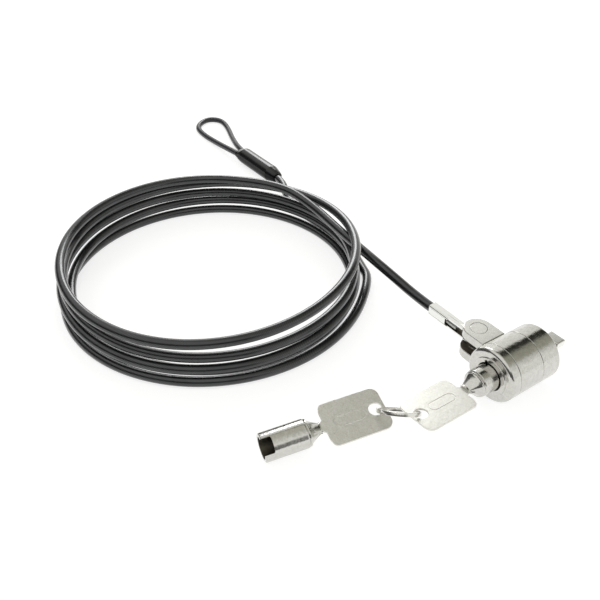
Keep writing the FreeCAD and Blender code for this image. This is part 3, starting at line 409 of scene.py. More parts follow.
def mesh_object(name: str, build: bmesh.types.BMesh, frame: Matrix = LEVEL) -> Piece:
    """Turns a bmesh in millimetres into an object in metres.

    Args:
        name: the object's name.
        build: the bmesh, which is freed.
        frame: place and turn of the object.

    Returns:
        The linked object.
    """
    bmesh.ops.recalc_face_normals(build, faces=build.faces)
    bmesh.ops.transform(build, matrix=frame, verts=build.verts)
    mesh = bpy.data.meshes.new(name)
    build.to_mesh(mesh)
    build.free()
    mesh.transform(Matrix.Scale(MM, 4))
    return link(name, mesh)


def skin(build: bmesh.types.BMesh, rows: Sequence[list],
         columns: Optional[Sequence[int]] = None) -> list[bmesh.types.BMFace]:
    """Joins rows of vertices, each closed on itself, by quads.

    Args:
        build: the bmesh.
        rows: rows of equally many vertices.
        columns: numbers of the columns to fill, or None for all of them.

    Returns:
        The faces, row by row.
    """
    count = len(rows[0])
    return [build.faces.new((a[i], a[(i + 1) % count], b[(i + 1) % count], b[i]))
            for a, b in zip(rows, rows[1:]) for i in columns or range(count)]


def evaluated(obj: Piece) -> bpy.types.Mesh:
    """Copies the mesh that an object's modifiers or curve make.

    Args:
        obj: the object.

    Returns:
        The new mesh.
    """
    graph = bpy.context.evaluated_depsgraph_get()
    graph.update()
    return bpy.data.meshes.new_from_object(obj.evaluated_get(graph))


def bake(obj: Piece) -> Piece:
    """Applies the object's modifiers to its mesh.

    Args:
        obj: the object.

    Returns:
        The same object, without modifiers.
    """
    mesh = evaluated(obj)
    obj.modifiers.clear()
    obj.data = mesh
    return obj


def modify(obj: Piece, kind: str, **settings: object) -> Piece:
    """Applies one modifier to an object's mesh.

    Args:
        obj: the object.
        kind: the modifier's kind.
        **settings: properties of the modifier.

    Returns:
        The same object.
    """
    step = obj.modifiers.new(kind, kind)
    for name, value in settings.items():
        setattr(step, name, value)
    return bake(obj)


def carve(blank: Piece, tool: Piece, way: Blend) -> Piece:
    """Joins or cuts a blank with a tool and deletes the tool.

    Args:
        blank: the piece.
        tool: the cutter or the addition.
        way: how they meet.

    Returns:
        The blank, changed.
    """
    modify(blank, "BOOLEAN", operation=way.value, solver="EXACT", object=tool)
    bpy.data.objects.remove(tool)
    return blank


def soften(obj: Piece, width: float, angle: float, segments: int = 2) -> Piece:
    """Rounds by a width the edges sharper than an angle in degrees."""
    return modify(obj, "BEVEL", width=width * MM, segments=segments, limit_method="ANGLE",
                  angle_limit=math.radians(angle), miter_outer="MITER_ARC")


def smooth(obj: Piece, angle: float = 38.0) -> Piece:
    """Shades the faces smooth up to an angle, with the large faces kept flat.

    Args:
        obj: the piece.
        angle: edges sharper than this many degrees stay sharp.

    Returns:
        The same object.
    """
    obj.data.shade_smooth()
    obj.data.set_sharp_from_angle(angle=math.radians(angle))
    return modify(obj, "WEIGHTED_NORMAL", keep_sharp=True, weight=80)


def rounded(points: Sequence[Flat], radii: dict[int, float], steps: int = 4,
            default: float = 0.0) -> list[Flat]:
    """Rounds the corners of a closed outline.

    Args:
        points: the corners.
        radii: corner number to its radius.
        steps: steps of each arc.
        default: radius of the other corners.

    Returns:
        The new outline.
    """
    result: list[Flat] = []
    for i, corner in enumerate(points):
        radius = radii.get(i, default)
        spot = Vector(corner)
        back, on = Vector(points[i - 1]) - spot, Vector(points[(i + 1) % len(points)]) - spot
        turn = math.pi - back.angle(on)
        if radius <= 0 or turn < STRAIGHT:
            result.append(tuple(spot))
            continue
        reach = min(radius * math.tan(turn / 2), EDGE_SHARE * back.length,
                    EDGE_SHARE * on.length)
        real = reach / math.tan(turn / 2)
        back, on = back.normalized(), on.normalized()
        middle = spot + (back + on).normalized() * (real / math.cos(turn / 2))
        low, high = spot + back * reach - middle, spot + on * reach - middle
        for k in range(steps + 1):
            way = low.lerp(high, k / steps).normalized()
            result.append(tuple(middle + way * real))
    return result


def turned(name: str, outline: Sequence[Flat], radii: dict[int, float], steps: int,
           default: float = 0.0, facets: int = 128) -> Piece:
    """Turns a closed outline of radius and position round the Y axis.

    Args:
        name: the object's name.
        outline: corners of the half section.
        radii: corner number to the radius of its rounding.
        steps: steps of each rounding.
        default: radius of the other corners.
        facets: facets round the axis.

    Returns:
        The object.
    """
    shape = rounded(outline, radii, steps, default)
    build = bmesh.new()
    rings = []
    for k in range(facets):
        angle = 2 * math.pi * k / facets
        s, c = math.sin(angle), math.cos(angle)
        rings.append([build.verts.new((r * s, y, r * c)) for r, y in shape])
    off_axis = [i for i, (r, _) in enumerate(shape)
                if max(r, shape[(i + 1) % len(shape)][0]) >= 1e-6]
    skin(build, rings + rings[:1], off_axis)
    bmesh.ops.remove_doubles(build, verts=build.verts, dist=1e-5)
    bmesh.ops.dissolve_degenerate(build, edges=build.edges, dist=1e-6)
    return mesh_object(name, build)


def plate(name: str, outline: Sequence[Flat], low: float, high: float,
          frame: Matrix = LEVEL) -> Piece:
    """Extrudes a closed outline of x, y from one height to another.

    Args:
        name: the object's name.
        outline: the outline, anticlockwise.
        low: lower height.
        high: upper height.
        frame: place and turn of the plate.

    Returns:
        The object.
    """
    build = bmesh.new()
    lower, upper = ([build.verts.new((x, y, z)) for x, y in outline] for z in (low, high))
    build.faces.new(lower[::-1])
    build.faces.new(upper)
    skin(build, (lower, upper))
    return mesh_object(name, build, frame)


def cut(piece: Piece, outline: Sequence[Flat], low: float, high: float,
        frame: Matrix = LEVEL) -> Piece:
    """Cuts a plate's shape out of a piece."""
    return carve(piece, plate("cutter", outline, low, high, frame), Blend.CUT)


def box_shape(left: float, near: float, right: float, far: float) -> list[Flat]:
    """A rectangle as an outline."""
    return [(left, near), (right, near), (right, far), (left, far)]


def disc_shape(x: float, y: float, radius: float, steps: int = 64) -> list[Flat]:
    """A circle as an outline."""
    return [(x + radius * math.cos(2 * math.pi * k / steps),
             y + radius * math.sin(2 * math.pi * k / steps)) for k in range(steps)]


def slot_shape(middle: float, length: float, width: float, steps: int = 12) -> list[Flat]:
    """A long outline with round ends, along Y.

    Args:
        middle: its middle on Y.
        length: its whole length.
        width: its width.
        steps: steps of each round end.

    Returns:
        The outline.
    """
    half, reach = width / 2, (length - width) / 2
    points = []
    for base, sign in ((0.0, 1), (math.pi, -1)):
        for k in range(steps + 1):
            angle = base + math.pi * k / steps
            points.append((half * math.cos(angle), middle + sign * reach + half * math.sin(angle)))
    return points


def along_y(clock: float) -> Matrix:
    """Turns something made towards +Z round the lock axis, in degrees towards +X."""
    return Matrix.Rotation(math.radians(clock), 4, "Y")


def mark(piece: Piece, finish: int, test: Callable[[Vector], bool]) -> Piece:
    """Marks the faces that take another finish of a piece.

    Args:
        piece: the piece.
        finish: number of the finish, from 1.
        test: says from a face's middle, in millimetres, whether it takes it.

    Returns:
        The piece.
    """
    for face in piece.data.polygons:
        if test(face.center / MM):
            face.material_index = finish
    return piece


@dataclass
class Assembly:
    """A sub-assembly of the lock: it dresses CAD nodes and adds its own pieces."""

    nodes: dict[str, Piece]

    def dress(self, finish: Finish, *names: str) -> None:
        """Gives CAD nodes a finish.

        Args:
            finish: their finish.
            *names: the nodes.
        """
        for name in names:
            target = self.nodes[name]
            target.data.materials.clear()
            target.data.materials.append(finish.material())

    def seat(self, piece: Piece, finish: Finish, slot: str, body: Body, *replaced: str,
             marked: Sequence[Finish] = ()) -> Piece:
        """Finishes a piece and puts it on its body.

        Args:
            piece: the new object.
            finish: its finish.
            slot: the record's slot for it; not used.
            body: the body that it moves with.
            *replaced: CAD nodes that it stands for.
            marked: finishes of the faces that mark has marked, from 1.

        Returns:
            The piece.
        """
        marks = [face.material_index for face in piece.data.polygons]
        piece.data.materials.clear()
        for each in (finish, *marked):
            piece.data.materials.append(each.material())
        if marked:
            piece.data.polygons.foreach_set("material_index", marks)
        if replaced:
            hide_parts(*replaced)
        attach(piece, body.value)
        LOG.info("%s on %s: %d faces", piece.name, body.value, len(piece.data.polygons))
        return piece


# Cable and anchor loop


def spline_points(name: str, controls: Sequence[Vector]) -> list[Vector]:
    """The smooth line through a route's control points.

    Args:
        name: a name for the helper curve.
        controls: the route's points in millimetres.

    Returns:
        Points along the line, in millimetres.
    """
    curve = bpy.data.curves.new(name, "CURVE")
    curve.dimensions = "3D"
    curve.resolution_u = 12
    spline = curve.splines.new("NURBS")
    spline.points.add(len(controls) - 1)
    for point, spot in zip(spline.points, controls):
        point.co = (*(spot * MM), 1.0)
    spline.order_u = 3
    spline.use_endpoint_u = True
    holder = link(name, curve)
    line = evaluated(holder)
    points = [v.co / MM for v in line.vertices]
    bpy.data.meshes.remove(line)
    bpy.data.objects.remove(holder)
    kept = [points[0]]
    for point in points[1:]:
        if (point - kept[-1]).length > LINE_STEP:
            kept.append(point)
    kept[-1] = points[-1]
    return kept


def tube(name: str, line: Sequence[Vector], radius: float, sides: int = 20) -> Piece:
    """A round tube with its length and turn in a UV map.

    Args:
        name: the object's name.
        line: points of the middle line, in millimetres.
        radius: the tube's radius.
        sides: facets round it.

    Returns:
        The object.
    """
    build = bmesh.new()
    lay = build.loops.layers.uv.new("lay")
    normal = Vector((0, 0, 1))
    rings, lengths, far = [], [], 0.0
    for i, spot in enumerate(line):
        way = (line[min(i + 1, len(line) - 1)] - line[max(i - 1, 0)]).normalized()
        normal = (normal - way * normal.dot(way)).normalized()
        side = way.cross(normal)
        if i:
            far += (spot - line[i - 1]).length
        lengths.append(far)
        rings.append([build.verts.new(spot + (normal * c + side * s) * radius)
                      for c, s in disc_shape(0, 0, 1, sides)])
    for number, face in enumerate(skin(build, rings)):
        i, k = divmod(number, sides)
        corners = ((i, k), (i, k + 1), (i + 1, k + 1), (i + 1, k))
        for loop, (row, column) in zip(face.loops, corners):
            loop[lay].uv = (lengths[row] / LAY_UNIT, column / sides)
    build.faces.new(rings[0][::-1])
    build.faces.new(rings[-1])
    return mesh_object(name, build)


@dataclass
class CoveredCable(Assembly):
    """The covered cable from the head's fitting through the coil to the sleeve.

    The coil has a station at each quarter turn, with its radius and its height over the desk.
    The heights in lead and tail are over the desk too.
    """

    radius: float = 2.0
    centre: Flat = (-118.3, -75.8)
    start: float = 131.28
    share: int = 16
    spacing: float = 0.25
    bend: float = 16.0
    stations: tuple = (
        (57.6, 19.75), (60.2, 20.8), (62.2, 17.8), (62.2, 20.4), (62.6, 15.75), (60.7, 16.0),
        (61.6, 11.55), (61.8, 11.05), (61.4, 11.0), (61.5, 11.3), (63.6, 7.35), (62.6, 6.6),
        (62.0, 6.6), (59.6, 6.7), (58.2, 2.45), (61.2, 2.15), (60.2, 2.15), (61.1, 2.2),
        (64.4, 2.2), (66.2, 2.2))
    lead: tuple = ((-40.5, -19.05, 10.65), (-50.5, -19.05, 10.65), (-63.4, -19.6, 12.6),
                   (-75.7, -20.5, 14.7), (-98.4, -19.6, 15.65), (-126.0, -17.8, 17.2))
    tail: tuple = ((-88.5, -16.0, 2.2), (-105.5, -10.3, 2.2), (-125.0, -10.4, 2.2),
                   (-143.0, -11.2, 2.2), (-159.5, -9.0, 2.6))
    mouth_height: float = 4.4
    mouth_reach: Flat = (5.0, 4.6)
    line: list[Vector] = field(default_factory=list)

    def slope(self, index: int, column: int) -> float:
        """Change of radius or height from station to station, about one of them."""
        low, high = max(index - 1, 0), min(index + 1, len(self.stations) - 1)
        return (self.stations[high][column] - self.stations[low][column]) / (high - low)

    def at(self, turns: float) -> tuple[float, float]:
        """Radius and height of the coil.

        Args:
            turns: turns from the lead's end.

        Returns:
            Radius and height over the desk.
        """
        index = min(int(turns / self.spacing + 1e-9), len(self.stations) - 2)
        t = turns / self.spacing - index
        found = []
        for column, (low, high) in enumerate(zip(*self.stations[index:index + 2])):
            a, b = self.slope(index, column), self.slope(index + 1, column)
            found.append((2 * t**3 - 3 * t**2 + 1) * low + (t**3 - 2 * t**2 + t) * a
                         + (3 * t**2 - 2 * t**3) * high + (t**3 - t**2) * b)
        return found[0], found[1]

    def spot(self, turns: float, widen: float = 1.0) -> Vector:
        """A point of the coil.

        Args:
            turns: turns from the lead's end.
            widen: factor on the radius.

        Returns:
            The point.
        """
        radius, height = self.at(turns)
        angle = math.radians(self.start + 360 * turns)
        return Vector((self.centre[0] + radius * widen * math.cos(angle),
                       self.centre[1] + radius * widen * math.sin(angle), DESK + height))

    def route(self) -> list[Vector]:
        """Control points of the whole cable.

        Returns:
            Points from the fitting to the sleeve.
        """
        turns, little = (len(self.stations) - 1) * self.spacing, 0.01
        first, last = self.spot(0.0), self.spot(turns)
        first_way = (self.spot(little) - first).normalized()
        last_way = (last - self.spot(turns - little)).normalized()
        widen = 1 / math.cos(math.pi / self.share)
        wound = [self.spot((k + 0.5) / self.share, widen)
                 for k in range(round(turns * self.share))]
        angle = math.radians(SLEEVE_HEADING)
        way = Vector((math.cos(angle), math.sin(angle), 0))
        mouth, drop = Vector((*SLEEVE, self.mouth_height)), Vector((0, 0, DESK))
        before, inside = self.mouth_reach
        low = [Vector(p) for p in self.tail] + [mouth - way * before, mouth + way * inside]
        return ([Vector(p) + drop for p in self.lead]
                + [first - first_way * self.bend] + wound + [last + last_way * self.bend]
                + [p + drop for p in low])

    def build(self) -> Piece:
        """Makes the cable.

        Returns:
            The cable.
        """
        self.line = spline_points("cable_line", self.route())
        piece = smooth(tube("covered_cable", self.line, self.radius), 60.0)
        return self.seat(piece, JACKET, "jacket", Body.CABLE, "cable_lead", "cable_coil",
                         "cable_tail")

    def declare(self, piece: Piece, on_it: Iterable[Piece]) -> None:
        """Args:
            piece: the cable; not used.
            on_it: the pieces that are fixed on it; not used.
        """


@dataclass
class AnchorLoop(Assembly):
    """The loop of thinner covered cable, with its sleeve."""

    radius: float = 1.55
    outer: float = 4.4
    wall: float = 0.35
    taper: Flat = (0.35, 0.2)
    length: float = 36.8
    throat: Flat = (2.06, 4.7)
    pinch: float = 5.5
    flattening: float = 0.44
    height: float = 4.41
    path: tuple = ((-209.6, -2.3, 4.3), (-218.5, -1.7, 4.0), (-236.0, 4.1, 2.0),
                   (-252.0, 10.2, 1.62), (-263.5, 12.0, 1.62), (-269.6, 5.2, 1.62),
                   (-263.2, -5.0, 1.62), (-252.0, -7.2, 1.62), (-236.0, -6.5, 2.0),
                   (-218.5, -6.5, 4.0), (-209.6, -5.6, 4.3))

    def loop(self) -> None:
        line = spline_points("loop_line", [Vector((x, y, DESK + z)) for x, y, z in self.path])
        piece = smooth(tube("anchor_loop", line, self.radius, 18), 60.0)
        self.seat(piece, LOOP_JACKET, "loop_jacket", Body.CABLE, "cable_loop")

    def sleeve(self) -> Piece:
        """Makes the moulded sleeve: a stepped cone, and a mouth pinched on the two legs.

        Returns:
            The sleeve.
        """
        bore, start = self.outer - self.wall, self.length - self.pinch
        throat, depth = self.throat
        outline = [(throat, 0), (2.55, 0), (2.95, 0.5), (3.6, 2.6), (self.outer, 6.0)]
        shares = [k / 6 for k in range(7)]
        for radius, taper, row in ((self.outer, self.taper[0], shares),
                                   (bore, self.taper[1], shares[::-1])):
            outline += [(radius - taper * t**2, start + t * self.pinch) for t in row]
        outline += [(bore, 8.4), (3.45, depth), (throat, depth)]
        radii = {1: 0.3, 2: 0.2, 3: 0.35, 4: 4.0, 11: 0.22, 12: 0.15}
        piece = turned("moulded_sleeve", outline, radii, 6, facets=96)
        for vertex in piece.data.vertices:
            t = min(1.0, max(0.0, (vertex.co.y / MM - start) / self.pinch))
            vertex.co.z *= 1.0 - self.flattening * t * t * (3 - 2 * t)
        piece = smooth(piece)
        mouth = Vector((*SLEEVE, DESK + self.height))
        piece.data.transform(Matrix.Translation(mouth * MM)
                             @ Matrix.Rotation(math.radians(SLEEVE_HEADING - 90), 4, "Z"))
        return self.seat(piece, VINYL, "moulded_sleeve", Body.CABLE, "loop_sleeve")

    def build(self) -> Piece:
        """Makes the sleeve and the loop, and dresses the ferrule.

        Returns:
            The sleeve.
        """
        self.dress(TURNED, "loop_ferrule")
        piece = self.sleeve()
        self.loop()
        return piece


# Fitting and head


@dataclass
class CableFitting(Assembly):
    """The folded strap on the rope's end."""

    wide: float = 1.9
    tall: float = 2.3
    thick: float = 0.8
    eye: float = 3.2
    window: float = -31.5
    cable: float = -40.5
    rivet_bore: float = 1.56
    rope_bore: float = 1.23
    waist: float = 0.45

    def strap(self) -> Piece:
        """Makes the strap with its window, eyes, seam and crease.

        Returns:
            The strap.
        """
        x, y = RIVET
        wide, tall, inner = self.wide, self.tall, self.tall - self.thick
        along_x = Matrix(((0, 0, 1, 0), (1, 0, 0, y), (0, 1, 0, 0), (0, 0, 0, 1)))
        section = rounded(box_shape(-wide, -tall, wide, tall), {}, 5, 0.55)
        piece = plate("folded_strap", section, self.cable, x, along_x)
        carve(piece, plate("strap_eye", disc_shape(x, y, self.eye), -tall, tall), Blend.JOIN)
        gap = rounded(box_shape(self.window, -inner, 8, inner), {0: 0.5, 3: 0.5})
        cut(piece, gap, -y - 6, -y + 6, Y_TO_Z)
        cut(piece, disc_shape(x, y, self.rivet_bore), -4, 4)
        cut(piece, disc_shape(0, 0, self.rope_bore), self.cable - 1, self.window + 1, along_x)
        side = y - wide
        seam = box_shape(self.cable - 1, side - 1, self.window + 0.4, side + 0.3)
        cut(piece, seam, inner - 0.16, inner)
        cut(piece, seam, -inner, -inner + 0.1)
        crease = box_shape(self.window - 0.5, y - 0.06, x - 5.9, y + 0.06)
        cut(piece, crease, tall - 0.1, tall + 1)
        for edge in (y - wide, y + wide):
            near, far = edge - self.waist, edge + self.waist
            cut(piece, box_shape(self.window + 1.2, near, x - 5.2, far), -4, 4)
        piece = smooth(soften(piece, 0.09, 50.0), 40.0)
        # Painted shade: the faces inside the folded strap take the dark hollow finish.
        return mark(piece, 1, lambda c: abs(c.z) < inner + 0.03 and abs(c.y - y) < 3.1
                    and c.x > self.window - 0.3)

    def build(self) -> None:
        """Makes the fitting and dresses the rope's end."""
        self.seat(self.strap(), STRAP, "bright_strap", Body.CABLE, "cable_fitting",
                  marked=[HOLLOW_SHADE])
        self.dress(ROPE, "rope_end")


@dataclass
class LockHead(Assembly):
    """The three rings of the head, the nose and the locking bar."""

    radius: float = 10.65
    seams: Flat = (-13.3, -24.8)
    seam_gap: float = 0.05
    face: float = -29.7
    face_thick: float = 1.5
    face_step: float = 7.4
    key_hole: float = 5.5
    keyway: float = -23.0
    rim: float = -4.5
    lip: float = -6.3
    bore: float = 8.63
    collar_bore: float = 8.66
    ear_root: float = -8.9
    ear_top: float = 6.1
    ear_gap: float = 2.5
    rivet_shaft: float = 1.5
    rivet_head: float = 3.12
    bar_shaft: float = 1.45
    bar_length: float = 7.0
    pin_spread: float = 2.55

    def cap(self) -> Piece:
        """Front cap: rounded shoulder, bead, flat face, key hole and keyway.

        Returns:
            The cap.
        """
        rear, front, back = self.seams[1] - self.seam_gap, self.face, self.face + self.face_thick
        bead = front + 0.4
        outline = [(self.key_hole, back), (self.key_hole, front), (self.face_step, front),
                   (self.face_step, bead), (self.radius, bead), (self.radius, rear),
                   (self.bore, rear), (self.bore, back)]
        radii = {1: 0.18, 2: 0.3, 3: 0.12, 4: 2.8, 5: 0.16}
        piece = turned("head_cap", outline, radii, 10, 0.05)
        cut(piece, box_shape(-0.6, front - 1, 0.6, back + 0.3), 4.5, 6.4, along_y(self.keyway))
        return smooth(soften(piece, 0.06, 60.0))

    def sleeve(self) -> Piece:
        """Rear ring with the lip round the nose bush.

        Returns:
            The ring.
        """
        front, radius, rim = self.seams[0] + self.seam_gap, self.radius, self.rim
        outline = [(self.bore, front), (radius, front), (radius, rim - 0.6), (radius - 0.6, rim),
                   (7.5, rim), (7.5, self.lip), (self.bore, self.lip)]
        return smooth(turned("head_rear", outline, {1: 0.16, 2: 0.7, 3: 0.7, 4: 0.15}, 8, 0.05))

    def collar(self) -> Piece:
        """Middle ring with the forked ears.

        Returns:
            The ring.
        """
        low, high = self.seams[1] + self.seam_gap, self.seams[0] - self.seam_gap
        piece = turned("swivel_ring", box_shape(7.6, low, self.radius, high),
                       {1: 0.16, 2: 0.16}, 4)
        x, y = RIVET
        half, gap, top = (high - low) / 2 - 0.03, self.ear_gap, self.ear_top
        ends = [(self.ear_root, y - half), (self.ear_root, y + half)]
        for k in range(33):
            angle = math.pi / 2 + math.pi * k / 32
            ends.append((x + half * math.cos(angle), y + half * math.sin(angle)))
        for lower, upper in ((-top, -gap), (gap, top)):
            ear = modify(plate("ear", ends, lower, upper), "BEVEL", width=0.3 * MM, segments=3,
                         angle_limit=math.radians(60))
            carve(piece, ear, Blend.JOIN)
        web = box_shape(-10.9, y - half + 0.05, -8.0, y + half - 0.05)
        carve(piece, plate("web", web, -2.63, 2.63), Blend.JOIN)
        cut(piece, disc_shape(0, 0, self.collar_bore, 128), -40, 0, Z_TO_Y)
        for lower, upper, radius in ((-9, 9, 1.53), (5.1, 9, 3.27), (-9, -5.1, 3.27)):
            cut(piece, disc_shape(x, y, radius), lower, upper)
        # Painted shade: the faces in the gap between the ears take the dark hollow finish.
        mark(piece, 1, lambda c: c.x < -8.0 and abs(c.z) < gap + 0.05)
        mark(piece, 2, lambda c: c.x < self.ear_root and abs(c.z) > top - 0.02)
        return smooth(piece, 40.0)

    def rivet(self) -> Piece:
        """Rivet with flush heads.

        Returns:
            The rivet.
        """
        end, seat, edge = 6.08, 5.1, self.rivet_head
        half = [(0, -end), (2.9, -end), (edge, -end), (edge, -seat), (self.rivet_shaft, -seat)]
        outline = half + [(r, -level) for r, level in half[::-1]]
        piece = turned("joint_rivet", outline, {2: 0.14, 7: 0.14}, 5, facets=72)
        place = Matrix.Translation((RIVET[0] * MM, RIVET[1] * MM, 0))
        piece.data.transform(place @ Y_TO_Z)
        return smooth(piece)

    def bar(self) -> Piece:
        """Locking bar: flat head with softened ends on a round shaft.

        Returns:
            The bar.
        """
        x, z = self.bar_length / 2, self.bar_shaft
        section = rounded(box_shape(-x, -z, x, z), {}, 6, 0.7)
        head = soften(plate("locking_bar", section, 2.7, 7.1, ON_AXIS), 0.32, 50.0, 3)
        carve(head, plate("shaft", disc_shape(0, 0, z, 48), -14, 3.2, ON_AXIS), Blend.JOIN)
        return smooth(cut(head, disc_shape(0, -11.0, 0.63, 24), -3, 3), 35.0)

    def bush(self) -> Piece:
        """Nose bush: spigot, disc and boss.

        Returns:
            The bush.
        """
        outline = [(1.51, -8.5), (6.42, -8.5), (6.42, self.lip), (7.47, self.lip), (7.47, -4.6),
                   (4.4, -4.6), (4.4, 0.0), (1.51, 0.0)]
        piece = turned("nose", outline, {4: 0.15, 6: 0.35, 7: 0.15}, 5, facets=96)
        for x in (-self.pin_spread, self.pin_spread):
            cut(piece, disc_shape(x, 0, 0.78, 32), -3.5, 1, ON_AXIS)
        return smooth(piece)

    def build(self) -> None:
        """Makes the head's rings, the nose, the rivet and the bar."""
        for make, finish, body, node, marked in (
                (self.cap, NICKEL, Body.HEAD, "front_cap", ()),
                (self.sleeve, NICKEL, Body.HEAD, "rear_sleeve", ()),
                (self.bush, NICKEL, Body.HEAD, "nose_bush", ()),
                (self.collar, NICKEL, Body.COLLAR, "swivel_collar", (HOLLOW_SHADE, LAPPED)),
                (self.rivet, LAPPED, Body.COLLAR, "rivet", ()),
                (self.bar, LAPPED, Body.PLUG, "t_bar", ())):
            self.seat(make(), finish, "nickel", body, node, marked=marked)
        self.dress(TURNED, "lock_housing", "anti_rotation_pins", "spindle", "block_pin",
                   "drive_pin", "tumbler_springs")
        self.dress(BRASS, "driver_block", "driver_pins")


# Pieces that repeat a shape


class GeometryTree(Group):
    """A geometry node tree with named inputs."""

    def __init__(self, name: str, values: dict[str, float]) -> None:
        """Starts a tree.

        Args:
            name: the tree's name.
            values: input name to value, in metres or radians.
        """
        geometry = {"Geometry": "NodeSocketGeometry"}
        super().__init__(name, "GeometryNodeTree", {**geometry, **values}, geometry)
        self.values = values

    def finish(self, geometry: Socket, finish: Finish) -> None:
        """Ends the tree in Realize Instances and Set Material.

        Args:
            geometry: what the tree has made.
            finish: its finish.
        """
        real = self.node("GeometryNodeRealizeInstances", {0: geometry})
        dressed = self.node("GeometryNodeSetMaterial", {0: real.outputs[0],
                                                        "Material": finish.material()})
        self.node("NodeGroupOutput", {0: dressed.outputs[0]})

    def grow(self, name: str) -> Piece:
        """Makes a plain mesh object from the tree.

        Args:
            name: the object's name.

        Returns:
            The object.
        """
        made = link(name, bpy.data.meshes.new(name))
        step = made.modifiers.new("grow", "NODES")
        step.node_group = self.tree
        for label, value in self.values.items():
            step[self.identifiers[label]] = value
        return bake(made)


@dataclass
class SplitRing(Assembly):
    """The key ring: flat wire wound twice."""

    outer: float = 8.0
    wire: float = 1.1
    leaf: float = 0.58
    lift: float = 1.08
    turns: float = 1.97
    tilt: float = 38.0
    shift: float = -0.25

    def frame(self) -> Matrix:
        """The ring's frame in metres: its axis is Z.

        Returns:
            The frame.
        """
        first, second = Vector(KEY_HOLES[0]), Vector(KEY_HOLES[1])
        along = (second - first).normalized()
        near = Vector((-along.y, along.x, 0)).normalized()
        tilt = math.radians(self.tilt)
        across = near * math.cos(tilt) + Vector((0, 0, math.sin(tilt)))
        axis = along.cross(across).normalized()
        turn = Matrix((along, axis.cross(along), axis)).transposed().to_4x4()
        return Matrix.Translation(((first + second) / 2 + along * self.shift) * MM) @ turn

    def tree(self) -> GeometryTree:
        """Winds a flat wire along a spiral.

        Returns:
            The tree.
        """
        tree = GeometryTree("wound_ring", {
            "Radius": (self.outer - self.wire / 2) * MM, "Wire": self.wire * MM,
            "Leaf": self.leaf * MM, "Turns": self.turns})
        source = tree.source
        spiral = tree.node("GeometryNodeCurveSpiral", {
            "Resolution": 96, "Rotations": source["Turns"], "Start Radius": source["Radius"],
            "End Radius": source["Radius"], "Height": tree.times(source["Leaf"], self.lift)})
        upright = tree.node("GeometryNodeSetCurveNormal", {0: spiral.outputs[0]}, mode="Z_UP")
        section = tree.node("GeometryNodeCurvePrimitiveQuadrilateral", {
            "Width": source["Leaf"], "Height": source["Wire"]})
        corner = tree.node("GeometryNodeFilletCurve", {0: section.outputs[0], "Radius": 0.00012,
                                                       "Count": 3}, mode="POLY")
        swept = tree.node("GeometryNodeCurveToMesh", {
            0: upright.outputs[0], 1: corner.outputs[0], "Fill Caps": True})
        tree.finish(swept.outputs[0], RING_STEEL)
        return tree

    def build(self) -> None:
        """Makes the ring."""
        piece = self.tree().grow("split_ring")
        centre = Matrix.Translation((0, 0, -self.leaf * self.lift / 2 * MM))
        piece.data.transform(self.frame() @ centre)
        self.seat(smooth(piece, 50.0), RING_STEEL, "ring_steel", Body.RING, "key_ring")


@dataclass
class KeyPins(Assembly):
    """The ring of key pins in the spindle's flange."""

    circle: float = 4.7
    radius: float = 0.89
    low: float = -20.4
    high: float = -16.55
    pitch: float = 36.0
    clock: float = 146.0
    count: int = 7

    def tree(self) -> GeometryTree:
        """Repeats one pin round the axis Z.

        Returns:
            The tree.
        """
        tree = GeometryTree("pin_row", {
            "Count": self.count, "Circle": self.circle * MM, "Radius": self.radius * MM,
            "Length": (self.high - self.low) * MM, "Pitch": math.radians(self.pitch)})
        source = tree.source
        pin = tree.node("GeometryNodeMeshCylinder", {
            "Vertices": 32, "Radius": source["Radius"], "Depth": source["Length"]})
        row = tree.node("GeometryNodeMeshLine", {"Count": source["Count"], "Offset": (0, 0, 0)})
        points = tree.node("GeometryNodeMeshToPoints", {0: row.outputs[0]})
        angle = tree.times(tree.node("GeometryNodeInputIndex").outputs[0], source["Pitch"])
        x, y = (tree.times(tree.math(way, angle), source["Circle"]) for way in ("COSINE", "SINE"))
        spot = tree.node("ShaderNodeCombineXYZ", {0: x, 1: y, 2: 0.0})
        moved = tree.node("GeometryNodeSetPosition", {0: points.outputs[0],
                                                      "Position": spot.outputs[0]})
        copies = tree.node("GeometryNodeInstanceOnPoints", {0: moved.outputs[0],
                                                            "Instance": pin.outputs[0]})
        tree.finish(copies.outputs[0], BRASS)
        return tree

    def build(self) -> None:
        """Makes the pins."""
        piece = self.tree().grow("front_pins")
        span = self.pitch * (self.count - 1) / 2
        start = Matrix.Rotation(math.radians(-span + 90), 4, "Z")
        place = Matrix.Translation((0, (self.low + self.high) / 2 * MM, 0))
        piece.data.transform(along_y(self.clock + 180) @ place @ Z_TO_Y @ start)
        smooth(soften(piece, 0.18, 60.0, 3), 50.0)
        self.seat(piece, BRASS, "brass", Body.PLUG, "key_pins")


# Keys


